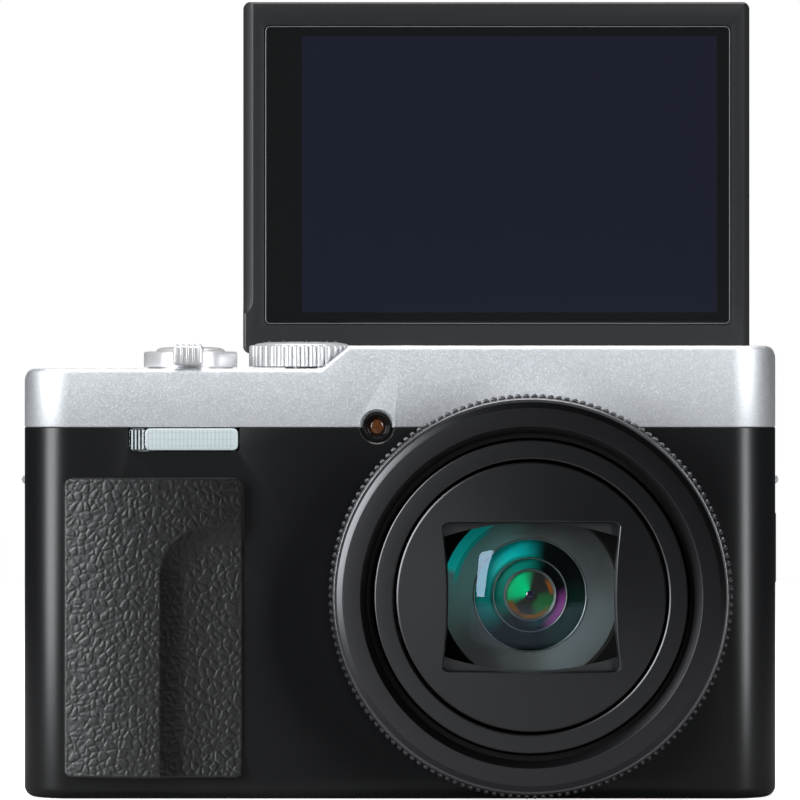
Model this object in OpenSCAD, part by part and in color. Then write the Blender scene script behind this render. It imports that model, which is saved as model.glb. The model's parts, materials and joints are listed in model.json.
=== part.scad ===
// Compact digital camera with a flip-up screen, shown with the screen raised to face forward.
// Origin: centre of the tripod socket's mouth. +X right seen from the front, -Y front, +Z up.

/* [Body] */
// overall body width
body_width = 112; // [100:0.5:120]
// front face of the body
body_front = -14; // [-16:0.5:-12]
// rear face of the body
body_back = 14.5; // [12:0.5:17]
// corner radius of the front uprights in plan
front_corner_r = 7; // [4:0.5:9]
// corner radius of the rear uprights in plan
back_corner_r = 3; // [2:0.5:4]
// radius of the bottom corners in the front view
foot_r = 2; // [1:0.5:4]
// wall thickness of the shells
wall = 1.6; // [1.2:0.1:2]
// height of the seam between body and top cover
seam_z = 55; // [50:0.5:58]
// top of the low left deck
deck_z = 63.7; // [60:0.1:65]
// top of the raised hump
hump_z = 67.1; // [65:0.1:70]
// chamfer along the top edges
top_chamfer = 0.6; // [0.3:0.1:1]

/* [Lens] */
// lens axis across
lens_x = 19.1; // [10:0.1:25]
// lens axis height
lens_z = 30.4; // [28:0.1:33]
// radius over the knurl of the control ring
control_r = 29.6; // [28:0.1:31]
// front plane of the trim ring
trim_front = -27; // [-30:0.5:-24]
// outer radius of the trim ring
trim_r = 28.3; // [27:0.1:29]
// inner radius of the trim ring
trim_inner_r = 24.2; // [23:0.1:25]
// outer radius of the first barrel
barrel_1_r = 22.8; // [21:0.1:23]
// outer radius of the second barrel
barrel_2_r = 19.6; // [18:0.1:20]
// width of the window in the front plate
window_width = 25.8; // [22:0.1:28]
// height of the window in the front plate
window_height = 21.5; // [18:0.1:24]
// radius of the front glass
front_glass_r = 12.4; // [10:0.1:14]
// radius of the inner dark glass
inner_glass_r = 7.9; // [6:0.1:9]

/* [Controls] */
// shutter button across
shutter_x = -31.4; // [-36:0.1:-28]
// shutter button front to back
shutter_y = -3.5; // [-6:0.1:0]
// outer radius of the zoom lever
lever_r = 7; // [6:0.1:8]
// radius of the shutter button
shutter_r = 5.2; // [4:0.1:5.4]
// mode dial across
dial_x = -14.9; // [-17:0.1:-13]
// mode dial front to back
dial_y = 2; // [0:0.1:4]
// radius of the mode dial
dial_r = 8.1; // [7:0.1:9]
// centre of the rear dial across
rear_dial_x = -41; // [-44:0.5:-38]
// centre of the rear dial height
rear_dial_z = 20; // [16:0.5:26]

/* [Screen] */
// width of the screen panel
panel_width = 77.8; // [70:0.1:80]
// height of the screen panel
panel_height = 54; // [50:0.1:56]
// thickness of the screen panel
panel_thick = 4.9; // [4:0.1:6]
// middle of the screen panel across
panel_x = 14.8; // [10:0.1:18]
// height of the hinge axis
hinge_z = 63; // [62:0.1:64]
// hinge axis front to back
hinge_y = 14.2; // [14:0.1:15]

/* [Tripod] */
// radius of the threaded hole wall
thread_r = 2.6; // [2.5:0.05:3.2]
// depth of the threaded hole
thread_depth = 5.5; // [4.5:0.5:6]

/* [Hidden] */
fine = 96;
small = 48;
cut = 1;
half_width = body_width / 2;
shell_gap = 0.1;
split_y = 0;
base_thick = 1.5;
base_inset = wall + shell_gap;
deck_left = -half_width;
slope_low_x = -11.9;
slope_high_x = -7.4;
hump_cavity_x = -5;
bay_left = panel_x - panel_width / 2 - 0.3;
bay_right = panel_x + panel_width / 2 + 0.3;
bay_floor = 8.8;
bay_low = 4.9;
bay_top = 60.2;
bay_wall = 1.4;
relief_y = 13.9;
panel_left = panel_x - panel_width / 2;
panel_low = hinge_z + 3.2;
panel_front = hinge_y + 0.1;
glass_left = -20.75;
glass_low = 70.7;
glass_width = 71.5;
glass_height = 45.8;
glass_thick = 1;
glass_sink = 0.1;
display_left = -15.1;
display_low = 72.5;
display_width = 63.7;
display_height = 42.4;
display_thick = 1.8;
arm_width = 6;
arm_xs = [0, 24];
knuckle_r = 1.7;
pin_r = 0.7;
running_gap = 0.05;
arm_thick = 3;
bracket_spans = [[-4, 3.7], [6.3, 17.4], [30.3, 3.7]];
bracket_back = 10.9;
pocket_left = -6;
pocket_width = 42;
pocket_front = 9.6;
pocket_top = 65.5;
lens_hole_r = 26.3;
boss_r = 28.6;
boss_front = -15.9;
housing_r = 26;
housing_bore_r = 23.1;
housing_front = -24.9;
housing_rear_r = 24.6;
housing_rear = 3;
flange_r = 28.4;
flange_back = -11.2;
ring_front = -24.6;
ring_back = -16.2;
ring_bevel = 0.5;
barrel_1_front = -26;
barrel_1_back = -3;
barrel_1_bore_r = 21;
barrel_1_lip_r = 20.1;
barrel_1_lip = 1.2;
plate_front = -26.4;
plate_back = -25.2;
barrel_2_back = -4;
barrel_2_bore_r = 18.2;
leaf_r = 17.9;
leaf_edge_r = 40;
leaf_edge_drop = 29.2;
leaf_thick = 0.3;
leaf_layers = [-25.05, -24.6];
front_seat_y = -22.6;
front_seat_back = -20.4;
inner_seat_y = -18.6;
inner_seat_back = -17.4;
front_curve_r = 34;
front_apex_y = -23.7;
inner_curve_r = 14;
inner_apex_y = -19.4;
rod_offset = 13.5;
rod_r = 0.8;
rod_front = -15.5;
holder_r = 15.5;
holder_bore_r = 8.6;
rear_glass_r = 8.5;
drive_r = 27;
drive_front = -9;
drive_back = -6;
lamp_x = -3.4;
lamp_z = 55.1;
lamp_r = 2.45;
lamp_hole_r = 2.55;
lamp_lens_r = 1.3;
flash_left = -40.2;
flash_width = 16.5;
flash_low = 51.4;
flash_corner_r = 0.6;
grip_left = -49.6;
grip_width = 26.4;
grip_low = 3.4;
grip_height = 44.1;
grip_corner_r = 1.2;
grip_front = -16.6;
recess_x = -35.4;
recess_z = 40.5;
recess_r = 7.7;
recess_deep_y = -15;
recess_shallow_y = -15.9;
door_axis_x = -52.6;
door_axis_z = 0.8;
door_knuckle_r = 0.72;
door_pin_r = 0.35;
door_right = -17;
door_front = -8.5;
door_back = 8;
door_gap = 0.3;
door_top = 1.45;
terminal_axis_x = 55.6;
terminal_axis_y = 4.7;
terminal_low = 31.6;
terminal_high = 42.3;
terminal_front = -5;
terminal_inner_x = 55.1;
terminal_outer_x = 56.3;
terminal_knuckle_r = 0.5;
terminal_pin_r = 0.2;
terminal_seat_x = 55;
wheel_x = 52.65;
wheel_y = 3.5;
wheel_r = 3.6;
wheel_low = 51.7;
wheel_high = 54.7;
wheel_pin_r = 1;
battery_left = -51.5;
battery_width = 33;
battery_front = -8;
battery_thick = 9.8;
battery_low = 2.8;
battery_height = 45;
battery_gap = 0.3;
case_wall = 0.8;
card_left = -47;
card_front = 4.2;
eye_left = 38.6;
eye_width = 13.8;
eye_low = 60.9;
eye_height = 5;
lug_z = 47.2;
lug_x = 55.9;
lug_r = 0.7;
lug_front = -5.4;
lug_length = 4.8;
button_gap = 0.3;
power_x = 1;
power_y = 3;
power_r = 3;
movie_x = -45;
movie_y = 5;
movie_r = 2.8;
rear_button_r = 2.2;
playback_x = -31.5;
delete_x = -48;
rear_button_z = 36;
dial_hub_r = 4.4;
rear_dial_r = 8.5;
set_r = 4.1;
base_screw_spots = [[-12, -9.5], [-12, 5], [36, -9.5], [34, 3]];
side_screw_spots = [[-1, 12], [-1, 40], [1, 12], [1, 24]];
side_screw_y = 4;
screw_r = 0.8;
screw_hole_r = 0.85;
screw_head_r = 1.5;
screw_sink_r = 1.6;
screw_head = 0.5;
screw_length = 3;
tripod_r = 5;
tripod_height = 6.5;
speaker_x = 46;
speaker_y = -4;
speaker_r = 5;
mic_xs = [14, 26];
mic_y = -6;
chassis_low = [-20, 6.1, 5];
chassis_high = [51, 6.8, 51];
chassis_hole_xs = [-14, 4, 22, 40];
chassis_hole_zs = [18, 40];
chassis_hole_r = 5;
capacitor_x = -12.9;
capacitor_y = -6.2;
capacitor_low = 22;
capacitor_high = 45.5;
capacitor_r = 4.2;
motor_x = -8.6;
motor_z = 50.2;
motor_front = -11.5;
motor_back = 1;
motor_r = 3.2;
gearbox_low = [-12, -3, 46.4];
gearbox_high = [-5.8, 1, 50];
window_corner_r = 1.2;
holder_front = -9;
holder_back = -6.5;
rear_glass_front = -9.6;
rear_glass_back = -6;
sensor_plate_thick = 1.1;
sensor_half = [7, 6];
sensor_thick = 1.2;
board_low = [-8, 4.4, 7.2];
board_high = [48.5, 5.4, 52];
chip_xs = [0, 24];
chip_low = 24;
chip_size = [12, 0.6, 10];
card_width = 24;
card_thick = 2.1;
card_low = 3;
card_high = 35;
slot_gap = 0.2;
slot_low = 8;
slot_high = 36;
slot_side = 1;
slot_skin = 0.8;
latch_recess = [[-24, -6], [-19, 4, 0.8]];
latch_slit = [[-22.3, -3.3], [-20.7, 1.9]];
latch_pad = [[-23.7, -5.7, 0.1], [-19.3, 0.7, 0.5]];
latch_stem = [[-22, -3, 0.5], [-21, -1.5, 1.9]];
latch_hook = [[-23, -4, 1.75], [-20, -0.5, 2.3]];
socket_deep = 50;
socket_open = 54.9;
socket_floor = 51;
socket_wall = 0.4;
usb_low = [-3.6, 33.5];
usb_high = [-1.1, 41];
hdmi_low = [1, 33.7];
hdmi_high = [3.9, 40.3];
speaker_thick = 3;
mic_r = 2;
mic_thick = 2;
eyecup_front = 12.2;
eyecup_r = 0.8;
eyecup_side = 2;
eyecup_rim = 0.8;
eye_glass_front = 12.3;
eye_glass_back = 13.4;
eye_glass_gap = 0.1;
finder_low = [39.5, -2, 58];
finder_high = [51.5, 7, 65];
wheel_notch_r = 0.35;
wheel_notch_out = 0.15;
bracket_left = -4;
bracket_right = 34;
bracket_thick = 1;
bracket_low = 60.7;
bracket_high = 65.2;
bracket_ear_half = 1;
lever_low = 61;
lever_skirt = 64;
lever_top = 66.3;
lever_neck_r = 6.3;
lever_lip_r = 7.2;
lever_lip = 0.8;
lever_bore_r = 5.5;
tab_half = 2.2;
tab_front = -14.2;
tab_low = 64.2;
tab_top = 67.3;
tab_groove = 0.4;
tab_groove_step = 1.1;
stem_r = 2;
stem_low = 60;
shutter_skirt = 63.5;
shutter_top = 67;
dial_low = 64;
dial_top = 67.6;
dial_stem_r = 2.4;
dial_stem_low = 60.5;
dial_foot_r = 4;
dial_foot = 1.2;
dial_notch_r = 0.4;
power_low = 63.6;
power_top = 67.3;
movie_low = 60.4;
movie_top = 63.7;
button_flange = 0.8;
power_flange_r = 3.9;
movie_flange_r = 3.6;
rear_dial_deep = 12;
rear_dial_face = 15.3;

// A block from its low corner to its high corner.
module block(low, high) {
  translate(low)
    cube(high - low);
}

// A rounded rectangle drawn from its low corner.
module round_rect(size, r) {
  translate([r, 0])
    square([size[0] - 2 * r, size[1]]);
  translate([0, r])
    square([size[0], size[1] - 2 * r]);
  for (x = [r, size[0] - r])
    for (y = [r, size[1] - r])
      translate([x, y])
        circle(r = r, $fn = small);
}

// A plate that is rounded in the front view and runs along Y.
module front_plate_block(x0, z0, width, height, y0, y1, r) {
  translate([x0, y1, z0])
    rotate([90, 0, 0])
      linear_extrude(y1 - y0)
        round_rect([width, height], r);
}

// A disc along Y.
module disc_y(x, z, y0, y1, r) {
  translate([x, y0, z])
    rotate([-90, 0, 0])
      cylinder(h = y1 - y0, r = r, $fn = fine);
}

// A ring along Y on the lens axis.
module lens_ring(y0, y1, r_out, r_in) {
  difference() {
    disc_y(lens_x, lens_z, y0, y1, r_out);
    disc_y(lens_x, lens_z, y0 - cut, y1 + cut, r_in);
  }
}

// A profile of radius against distance along Y, turned about the lens axis.
module lens_turn(points) {
  translate([lens_x, 0, lens_z])
    rotate([-90, 0, 0])
      rotate_extrude($fn = fine)
        polygon(points);
}

// A disc along Z.
module disc_z(x, y, z0, z1, r) {
  translate([x, y, z0])
    cylinder(h = z1 - z0, r = r, $fn = small);
}

// The body's plan outline, shrunk by an inset.
module plan_outline(inset) {
  half = half_width - inset;
  front = body_front + inset;
  back = body_back - inset;
  rf = front_corner_r - inset;
  rb = back_corner_r - inset;
  translate([-half, front + rf])
    square([2 * half, back - rb - front - rf]);
  translate([-half + rf, front])
    square([2 * (half - rf), rf + cut]);
  translate([-half + rb, back - rb - cut])
    square([2 * (half - rb), rb + cut]);
  for (side = [-1, 1]) {
    translate([side * (half - rf), front + rf])
      circle(r = rf, $fn = fine);
    translate([side * (half - rb), back - rb])
      circle(r = rb, $fn = small);
  }
}

// The plan outline raised into a prism.
module body_prism(inset, z0, z1) {
  translate([0, 0, z0])
    linear_extrude(z1 - z0)
      plan_outline(inset);
}

// The lower body as one block with rounded feet.
module lower_block() {
  intersection() {
    body_prism(0, 0, seam_z);
    front_plate_block(-half_width, 0, body_width, seam_z + 10, body_front - cut, body_back + cut, foot_r);
  }
}

// The block that forms the walls of the screen bay.
module bay_block(z0, z1) {
  block([bay_left - bay_wall, bay_floor - bay_wall, z0], [half_width - wall / 2, body_back - wall / 2, z1]);
}

// The space that the folded screen lies in.
module bay_space() {
  block([bay_left, bay_floor, bay_low], [bay_right, body_back + 10, bay_top]);
}

// Seats and holes in the side walls for the terminal door, the lugs and the screws.
module side_cuts() {
  block(
    [terminal_seat_x, terminal_front - door_gap, terminal_low - door_gap],
    [half_width + cut, terminal_axis_y + 1.1, terminal_high + door_gap]
  );
  block([half_width - wall - cut, -3.7, 33.4], [half_width, -1, 41.1]);
  block([half_width - wall - cut, 0.9, 33.6], [half_width, 4, 40.4]);
  for (side = [-1, 1]) {
    translate([side * lug_x, lug_front, lug_z])
      rotate([-90, 0, 0])
        cylinder(h = lug_length, r = lug_r, $fn = small);
    block(
      [side > 0 ? half_width - wall - cut : -half_width - cut, -4.6, 45.4],
      [side > 0 ? half_width + cut : -half_width + wall + cut, -1.4, 49]
    );
  }
  for (spot = side_screw_spots)
    translate([spot[0] * half_width, side_screw_y, spot[1]])
      rotate([0, -90 * spot[0], 0]) {
        translate([0, 0, -cut])
          cylinder(h = screw_length + cut, r = screw_hole_r, $fn = small);
        translate([0, 0, -cut])
          cylinder(h = screw_head + cut, r = screw_sink_r, $fn = small);
      }
}

module front_cover() {
  color([0.07, 0.07, 0.075])
    union() {
      difference() {
        lower_block();
        body_prism(wall, -cut, seam_z + cut);
        block([-half_width - cut, split_y, -cut], [half_width + cut, body_back + cut, seam_z + cut]);
        disc_y(lens_x, lens_z, body_front - cut, split_y, lens_hole_r);
        disc_y(lamp_x, lamp_z, body_front - cut, split_y, lamp_hole_r);
        block([flash_left, body_front - cut, flash_low], [flash_left + flash_width, split_y - 8, seam_z + cut]);
        side_cuts();
      }
      lens_ring(boss_front, body_front, boss_r, lens_hole_r);
    }
}

module rear_cover() {
  color([0.07, 0.07, 0.075]) {
    difference() {
      lower_block();
      block([-half_width - cut, body_front - cut, -cut], [half_width + cut, split_y, seam_z + cut]);
      difference() {
        body_prism(wall, -cut, seam_z + cut);
        bay_block(bay_low - bay_wall, seam_z + 2 * cut);
      }
      bay_space();
      side_cuts();
      block([half_width - wall - cut, -1, wheel_low - 0.3], [half_width + cut, 7.3, wheel_high + 1]);
      disc_y(rear_dial_x, rear_dial_z, body_back - 5, body_back + cut, rear_dial_r + running_gap);
      disc_y(playback_x, rear_button_z, body_back - 5, body_back + cut, rear_button_r + button_gap);
      disc_y(delete_x, rear_button_z, body_back - 5, body_back + cut, rear_button_r + button_gap);
    }
    translate([terminal_axis_x, terminal_axis_y, terminal_low - door_gap])
      cylinder(h = terminal_high - terminal_low + 2 * door_gap, r = terminal_pin_r, $fn = small);
  }
}

// One block of the top cover with chamfered long edges.
module crown(x0, x1, z1, r) {
  intersection() {
    front_plate_block(x0, seam_z - 10, x1 - x0, z1 - seam_z + 10, body_front - cut, body_back + cut, r);
    translate([x0 - cut, 0, 0])
      rotate([90, 0, 90])
        linear_extrude(x1 - x0 + 2 * cut)
          polygon([
            [body_front, seam_z],
            [body_back, seam_z],
            [body_back, z1 - top_chamfer],
            [body_back - top_chamfer, z1],
            [body_front + top_chamfer, z1],
            [body_front, z1 - top_chamfer]
          ]);
  }
}

// The sloped step between deck and hump.
module slope() {
  intersection() {
    translate([0, body_back - top_chamfer, 0])
      rotate([90, 0, 0])
        linear_extrude(body_back - body_front - 2 * top_chamfer)
          polygon([
            [slope_low_x, deck_z - 1],
            [slope_low_x, deck_z],
            [slope_high_x, hump_z],
            [slope_high_x + 3, hump_z],
            [slope_high_x + 3, deck_z - 1]
          ]);
    body_prism(0, seam_z, hump_z + cut);
  }
}

module top_cover() {
  color([0.72, 0.73, 0.74])
    difference() {
      intersection() {
        body_prism(0, seam_z, hump_z + cut);
        union() {
          crown(-half_width, slope_high_x + 10, deck_z, 1.5);
          crown(slope_high_x, half_width, hump_z, 1.8);
          slope();
        }
      }
      difference() {
        body_prism(wall, seam_z - cut, deck_z - wall);
        bay_block(seam_z - cut, bay_top + bay_wall);
      }
      difference() {
        intersection() {
          body_prism(wall, seam_z - cut, hump_z - wall);
          block([hump_cavity_x, body_front, seam_z - cut], [half_width, body_back, hump_z - wall]);
        }
        bay_block(seam_z - cut, bay_top + bay_wall);
        block([bay_left - bay_wall, relief_y - wall, seam_z], [half_width, body_back, hump_z]);
      }
      bay_space();
      block([bay_left, relief_y, seam_z], [bay_right, body_back + cut, hump_z + cut]);
      block([pocket_left, pocket_front, bay_top - cut], [pocket_left + pocket_width, body_back + cut, pocket_top]);
      block([eye_left - 0.2, 9.9, eye_low - 0.2], [eye_left + eye_width + 0.2, body_back + cut, eye_low + eye_height + 0.2]);
      block([half_width - wall - cut, -1, seam_z - cut], [half_width + cut, 7.3, wheel_high + 0.3]);
      disc_y(lens_x, lens_z, body_front - cut, body_front + wall + cut, lens_hole_r);
      disc_y(lamp_x, lamp_z, body_front - cut, body_front + wall + cut, lamp_hole_r);
      disc_z(dial_x, dial_y, deck_z, hump_z + cut, dial_r + 0.5);
      disc_z(dial_x, dial_y, deck_z - 3, hump_z + cut, dial_stem_r + running_gap);
      disc_z(shutter_x, shutter_y, deck_z - 3, hump_z + cut, 6.6);
      disc_z(power_x, power_y, hump_z - 3, hump_z + cut, power_r + button_gap);
      disc_z(movie_x, movie_y, deck_z - 3, hump_z + cut, movie_r + button_gap);
      for (x = mic_xs)
        disc_z(x, mic_y, hump_z - 3, hump_z + cut, 0.4);
    }
}

module base_cover() {
  color([0.08, 0.08, 0.085]) {
    difference() {
      body_prism(base_inset, 0, base_thick);
      block(
        [door_axis_x - 1.1, door_front - door_gap, -cut],
        [door_right + door_gap, door_back + door_gap, base_thick + cut]
      );
      disc_z(0, 0, -cut, base_thick + cut, tripod_r);
      for (spot = base_screw_spots) {
        disc_z(spot[0], spot[1], -cut, base_thick + cut, screw_hole_r);
        disc_z(spot[0], spot[1], -cut, screw_head, screw_sink_r);
      }
      for (angle = [0:60:300])
        translate([speaker_x, speaker_y, -cut])
          rotate([0, 0, angle])
            translate([2.2, 0, 0])
              cylinder(h = base_thick + 2 * cut, r = 0.5, $fn = small);
    }
    translate([door_axis_x, door_front - door_gap, door_axis_z])
      rotate([-90, 0, 0])
        cylinder(h = door_back - door_front + 2 * door_gap, r = door_pin_r, $fn = small);
  }
}

module grip_leather() {
  color([0.1, 0.1, 0.1])
    difference() {
      front_plate_block(grip_left, grip_low, grip_width, grip_height, grip_front, body_front, grip_corner_r);
      intersection() {
        translate([0, body_front, 0])
          rotate([90, 0, 0])
            linear_extrude(10) {
              translate([recess_x, -10])
                square([40, recess_z - recess_r + 10]);
              translate([recess_x + recess_r, -10])
                square([40, recess_z + 10]);
              translate([recess_x + recess_r, recess_z - recess_r])
                circle(r = recess_r, $fn = fine);
            }
        linear_extrude(70)
          polygon([
            [recess_x - cut, grip_front - cut],
            [recess_x - cut, recess_deep_y],
            [recess_x + 2, recess_deep_y],
            [grip_left + grip_width + cut, recess_shallow_y],
            [grip_left + grip_width + cut, grip_front - cut]
          ]);
      }
    }
}

module thumb_rest() {
  color([0.12, 0.12, 0.12])
    front_plate_block(-52, 42, 16, 11, body_back, body_back + 1.1, 2);
}

module strap_lugs() {
  color([0.8, 0.8, 0.8])
    for (side = [-1, 1])
      translate([side * lug_x, lug_front, lug_z])
        rotate([-90, 0, 0])
          cylinder(h = lug_length, r = lug_r, $fn = small);
}

module case_screws() {
  color([0.3, 0.3, 0.32]) {
    for (spot = base_screw_spots)
      translate([spot[0], spot[1], 0.1]) {
        cylinder(h = screw_length, r = screw_r, $fn = small);
        cylinder(h = screw_head - 0.1, r = screw_head_r, $fn = small);
      }
    for (spot = side_screw_spots)
      translate([spot[0] * (half_width - 0.1), side_screw_y, spot[1]])
        rotate([0, -90 * spot[0], 0]) {
          cylinder(h = screw_length - 0.2, r = screw_r, $fn = small);
          cylinder(h = screw_head - 0.1, r = screw_head_r, $fn = small);
        }
  }
}

module chassis_plate() {
  color([0.6, 0.6, 0.62])
    difference() {
      block(chassis_low, chassis_high);
      for (x = chassis_hole_xs)
        for (z = chassis_hole_zs)
          disc_y(x, z, chassis_low[1] - 1, chassis_high[1] + 1, chassis_hole_r);
    }
}

module tripod_socket() {
  color([0.7, 0.7, 0.72])
    difference() {
      disc_z(0, 0, 0, tripod_height, tripod_r);
      disc_z(0, 0, -cut, thread_depth, thread_r);
    }
}

module flash_window() {
  color([0.85, 0.87, 0.88, 0.5])
    intersection() {
      front_plate_block(
        flash_left + 0.1, flash_low + 0.1, flash_width - 0.2, 10, body_front - 0.2, body_front + 1.2, flash_corner_r
      );
      block([flash_left, body_front - cut, flash_low], [flash_left + flash_width, body_front + 3, seam_z - 0.05]);
    }
}

module flash_reflector() {
  color([0.85, 0.85, 0.86])
    difference() {
      block([flash_left + 0.6, body_front + 1.8, 49.6], [flash_left + flash_width - 0.6, body_front + 9, 54.8]);
      translate([flash_left + 1.4, body_front + 3, 52.2])
        rotate([0, 90, 0])
          cylinder(h = flash_width - 2.8, r = 2, $fn = small);
      block([flash_left + 1.4, body_front + 1, 50.2], [flash_left + flash_width - 1.4, body_front + 3, 54.2]);
    }
}

module flash_capacitor() {
  color([0.15, 0.15, 0.2])
    disc_z(capacitor_x, capacitor_y, capacitor_low, capacitor_high, capacitor_r);
}

module af_lamp_ring() {
  color([0.05, 0.05, 0.05])
    difference() {
      disc_y(lamp_x, lamp_z, body_front - 0.1, body_front + 2.2, lamp_r);
      disc_y(lamp_x, lamp_z, body_front - cut, body_front + 3, lamp_lens_r + running_gap);
    }
}

module af_lamp_lens() {
  color([0.9, 0.35, 0.1])
    disc_y(lamp_x, lamp_z, body_front + 0.3, body_front + 2, lamp_lens_r);
}

module lens_housing() {
  color([0.05, 0.05, 0.05])
    difference() {
      union() {
        disc_y(lens_x, lens_z, housing_front, flange_back, housing_r);
        disc_y(lens_x, lens_z, body_front + wall, flange_back, flange_r);
        disc_y(lens_x, lens_z, flange_back - cut, housing_rear, housing_rear_r);
      }
      disc_y(lens_x, lens_z, housing_front - cut, housing_rear + cut, housing_bore_r);
    }
}

module lens_trim_ring() {
  color([0.75, 0.75, 0.76])
    lens_turn([
      [trim_inner_r, housing_front],
      [trim_inner_r, trim_front + 1.1],
      [trim_inner_r + 0.7, trim_front],
      [trim_r - 0.5, trim_front],
      [trim_r, trim_front + 0.6],
      [trim_r, housing_front]
    ]);
}

module control_ring() {
  color([0.1, 0.1, 0.1])
    lens_turn([
      [housing_r + running_gap, ring_front],
      [control_r - ring_bevel, ring_front],
      [control_r, ring_front + ring_bevel],
      [control_r, ring_back - ring_bevel],
      [control_r - ring_bevel, ring_back],
      [housing_r + running_gap, ring_back]
    ]);
}

module drive_ring() {
  color([0.85, 0.85, 0.83])
    difference() {
      lens_ring(drive_front, drive_back, drive_r, housing_rear_r + running_gap);
      for (angle = [0:10:350])
        translate([lens_x, 0, lens_z])
          rotate([0, angle, 0])
            translate([drive_r, drive_front - cut, 0])
              rotate([-90, 0, 0])
                cylinder(h = drive_back - drive_front + 2 * cut, r = 0.7, $fn = 16);
    }
}

module zoom_motor() {
  color([0.5, 0.5, 0.52]) {
    disc_y(motor_x, motor_z, motor_front, motor_back, motor_r);
    block(gearbox_low, gearbox_high);
  }
}

module barrel_1() {
  color([0.08, 0.08, 0.08])
    difference() {
      disc_y(lens_x, lens_z, barrel_1_front, barrel_1_back, barrel_1_r);
      disc_y(lens_x, lens_z, barrel_1_front + barrel_1_lip, barrel_1_back + cut, barrel_1_bore_r);
      disc_y(lens_x, lens_z, barrel_1_front - cut, barrel_1_back, barrel_1_lip_r);
    }
}

module barrel_2() {
  color([0.06, 0.06, 0.06]) {
    difference() {
      disc_y(lens_x, lens_z, plate_back, barrel_2_back, barrel_2_r);
      disc_y(lens_x, lens_z, plate_back - cut, front_seat_y, barrel_2_bore_r);
      disc_y(lens_x, lens_z, front_seat_y - cut, front_seat_back, front_glass_r + running_gap);
      disc_y(lens_x, lens_z, front_seat_back - running_gap, inner_seat_y, barrel_2_bore_r);
      disc_y(lens_x, lens_z, inner_seat_y - cut, inner_seat_back + cut, inner_glass_r + running_gap);
      disc_y(lens_x, lens_z, inner_seat_back, barrel_2_back + cut, barrel_2_bore_r);
    }
  }
}

module front_plate() {
  color([0.04, 0.04, 0.04])
    difference() {
      disc_y(lens_x, lens_z, plate_front, plate_back, barrel_2_r);
      front_plate_block(
        lens_x - window_width / 2, lens_z - window_height / 2, window_width, window_height,
        plate_front - cut, plate_back + cut, window_corner_r
      );
    }
}

module barrier_leaves() {
  color([0.12, 0.12, 0.12])
    for (turn = [0, 180])
      for (layer = leaf_layers)
        translate([lens_x, 0, lens_z])
          rotate([0, turn, 0])
            difference() {
              disc_y(0, 0, layer, layer + leaf_thick, leaf_r);
              disc_y(0, -leaf_edge_drop, layer - cut, layer + leaf_thick + cut, leaf_edge_r);
              block([-30, layer - cut, -30], [30, layer + leaf_thick + cut, 0]);
            }
}

module front_glass() {
  color([0.1, 0.14, 0.16, 0.5])
    intersection() {
      disc_y(lens_x, lens_z, front_apex_y - cut, front_seat_back + 0.8, front_glass_r);
      translate([lens_x, front_apex_y + front_curve_r, lens_z])
        sphere(r = front_curve_r, $fn = fine);
    }
}

module inner_glass() {
  color([0.02, 0.02, 0.03])
    intersection() {
      disc_y(lens_x, lens_z, inner_apex_y - cut, inner_seat_back + 1.4, inner_glass_r);
      translate([lens_x, inner_apex_y + inner_curve_r, lens_z])
        sphere(r = inner_curve_r, $fn = fine);
    }
}

module guide_rods() {
  color([0.8, 0.8, 0.8])
    for (side = [-1, 1])
      disc_y(lens_x + side * rod_offset, lens_z, rod_front, housing_rear, rod_r);
}

module rear_lens_holder() {
  color([0.1, 0.1, 0.1])
    difference() {
      disc_y(lens_x, lens_z, holder_front, holder_back, holder_r);
      disc_y(lens_x, lens_z, holder_front - cut, holder_back + cut, holder_bore_r);
      for (side = [-1, 1])
        disc_y(lens_x + side * rod_offset, lens_z, holder_front - cut, holder_back + cut, rod_r + running_gap);
    }
}

module rear_glass() {
  color([0.3, 0.35, 0.4, 0.5])
    disc_y(lens_x, lens_z, rear_glass_front, rear_glass_back, rear_glass_r);
}

module sensor_plate() {
  color([0.65, 0.65, 0.67])
    disc_y(lens_x, lens_z, housing_rear, housing_rear + sensor_plate_thick, housing_rear_r);
}

module image_sensor() {
  color([0.15, 0.3, 0.25])
    block(
      [lens_x - sensor_half[0], housing_rear - sensor_thick, lens_z - sensor_half[1]],
      [lens_x + sensor_half[0], housing_rear, lens_z + sensor_half[1]]
    );
}

module main_board() {
  color([0.05, 0.3, 0.15])
    union() {
      block(board_low, board_high);
      for (x = chip_xs)
        translate([x, board_high[1], chip_low])
          cube(chip_size);
    }
}

module battery() {
  color([0.2, 0.2, 0.22])
    block(
      [battery_left, battery_front, battery_low],
      [battery_left + battery_width, battery_front + battery_thick, battery_low + battery_height]
    );
}

module battery_case() {
  pad = battery_gap + case_wall;
  color([0.3, 0.3, 0.3])
    difference() {
      block(
        [battery_left - pad, battery_front - pad, battery_low],
        [battery_left + battery_width + pad, battery_front + battery_thick + pad, battery_low + battery_height + pad]
      );
      block(
        [battery_left - battery_gap, battery_front - battery_gap, battery_low - cut],
        [
          battery_left + battery_width + battery_gap,
          battery_front + battery_thick + battery_gap,
          battery_low + battery_height + battery_gap
        ]
      );
    }
}

module memory_card() {
  color([0.1, 0.15, 0.4])
    block([card_left, card_front, card_low], [card_left + card_width, card_front + card_thick, card_high]);
}

module card_slot() {
  color([0.7, 0.7, 0.7])
    difference() {
      block(
        [card_left - slot_side, card_front - slot_skin, slot_low],
        [card_left + card_width + slot_side, card_front + card_thick + slot_skin, slot_high]
      );
      block(
        [card_left - slot_gap, card_front - slot_gap, slot_low - 1],
        [card_left + card_width + slot_gap, card_front + card_thick + slot_gap, card_high + slot_gap]
      );
    }
}

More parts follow.
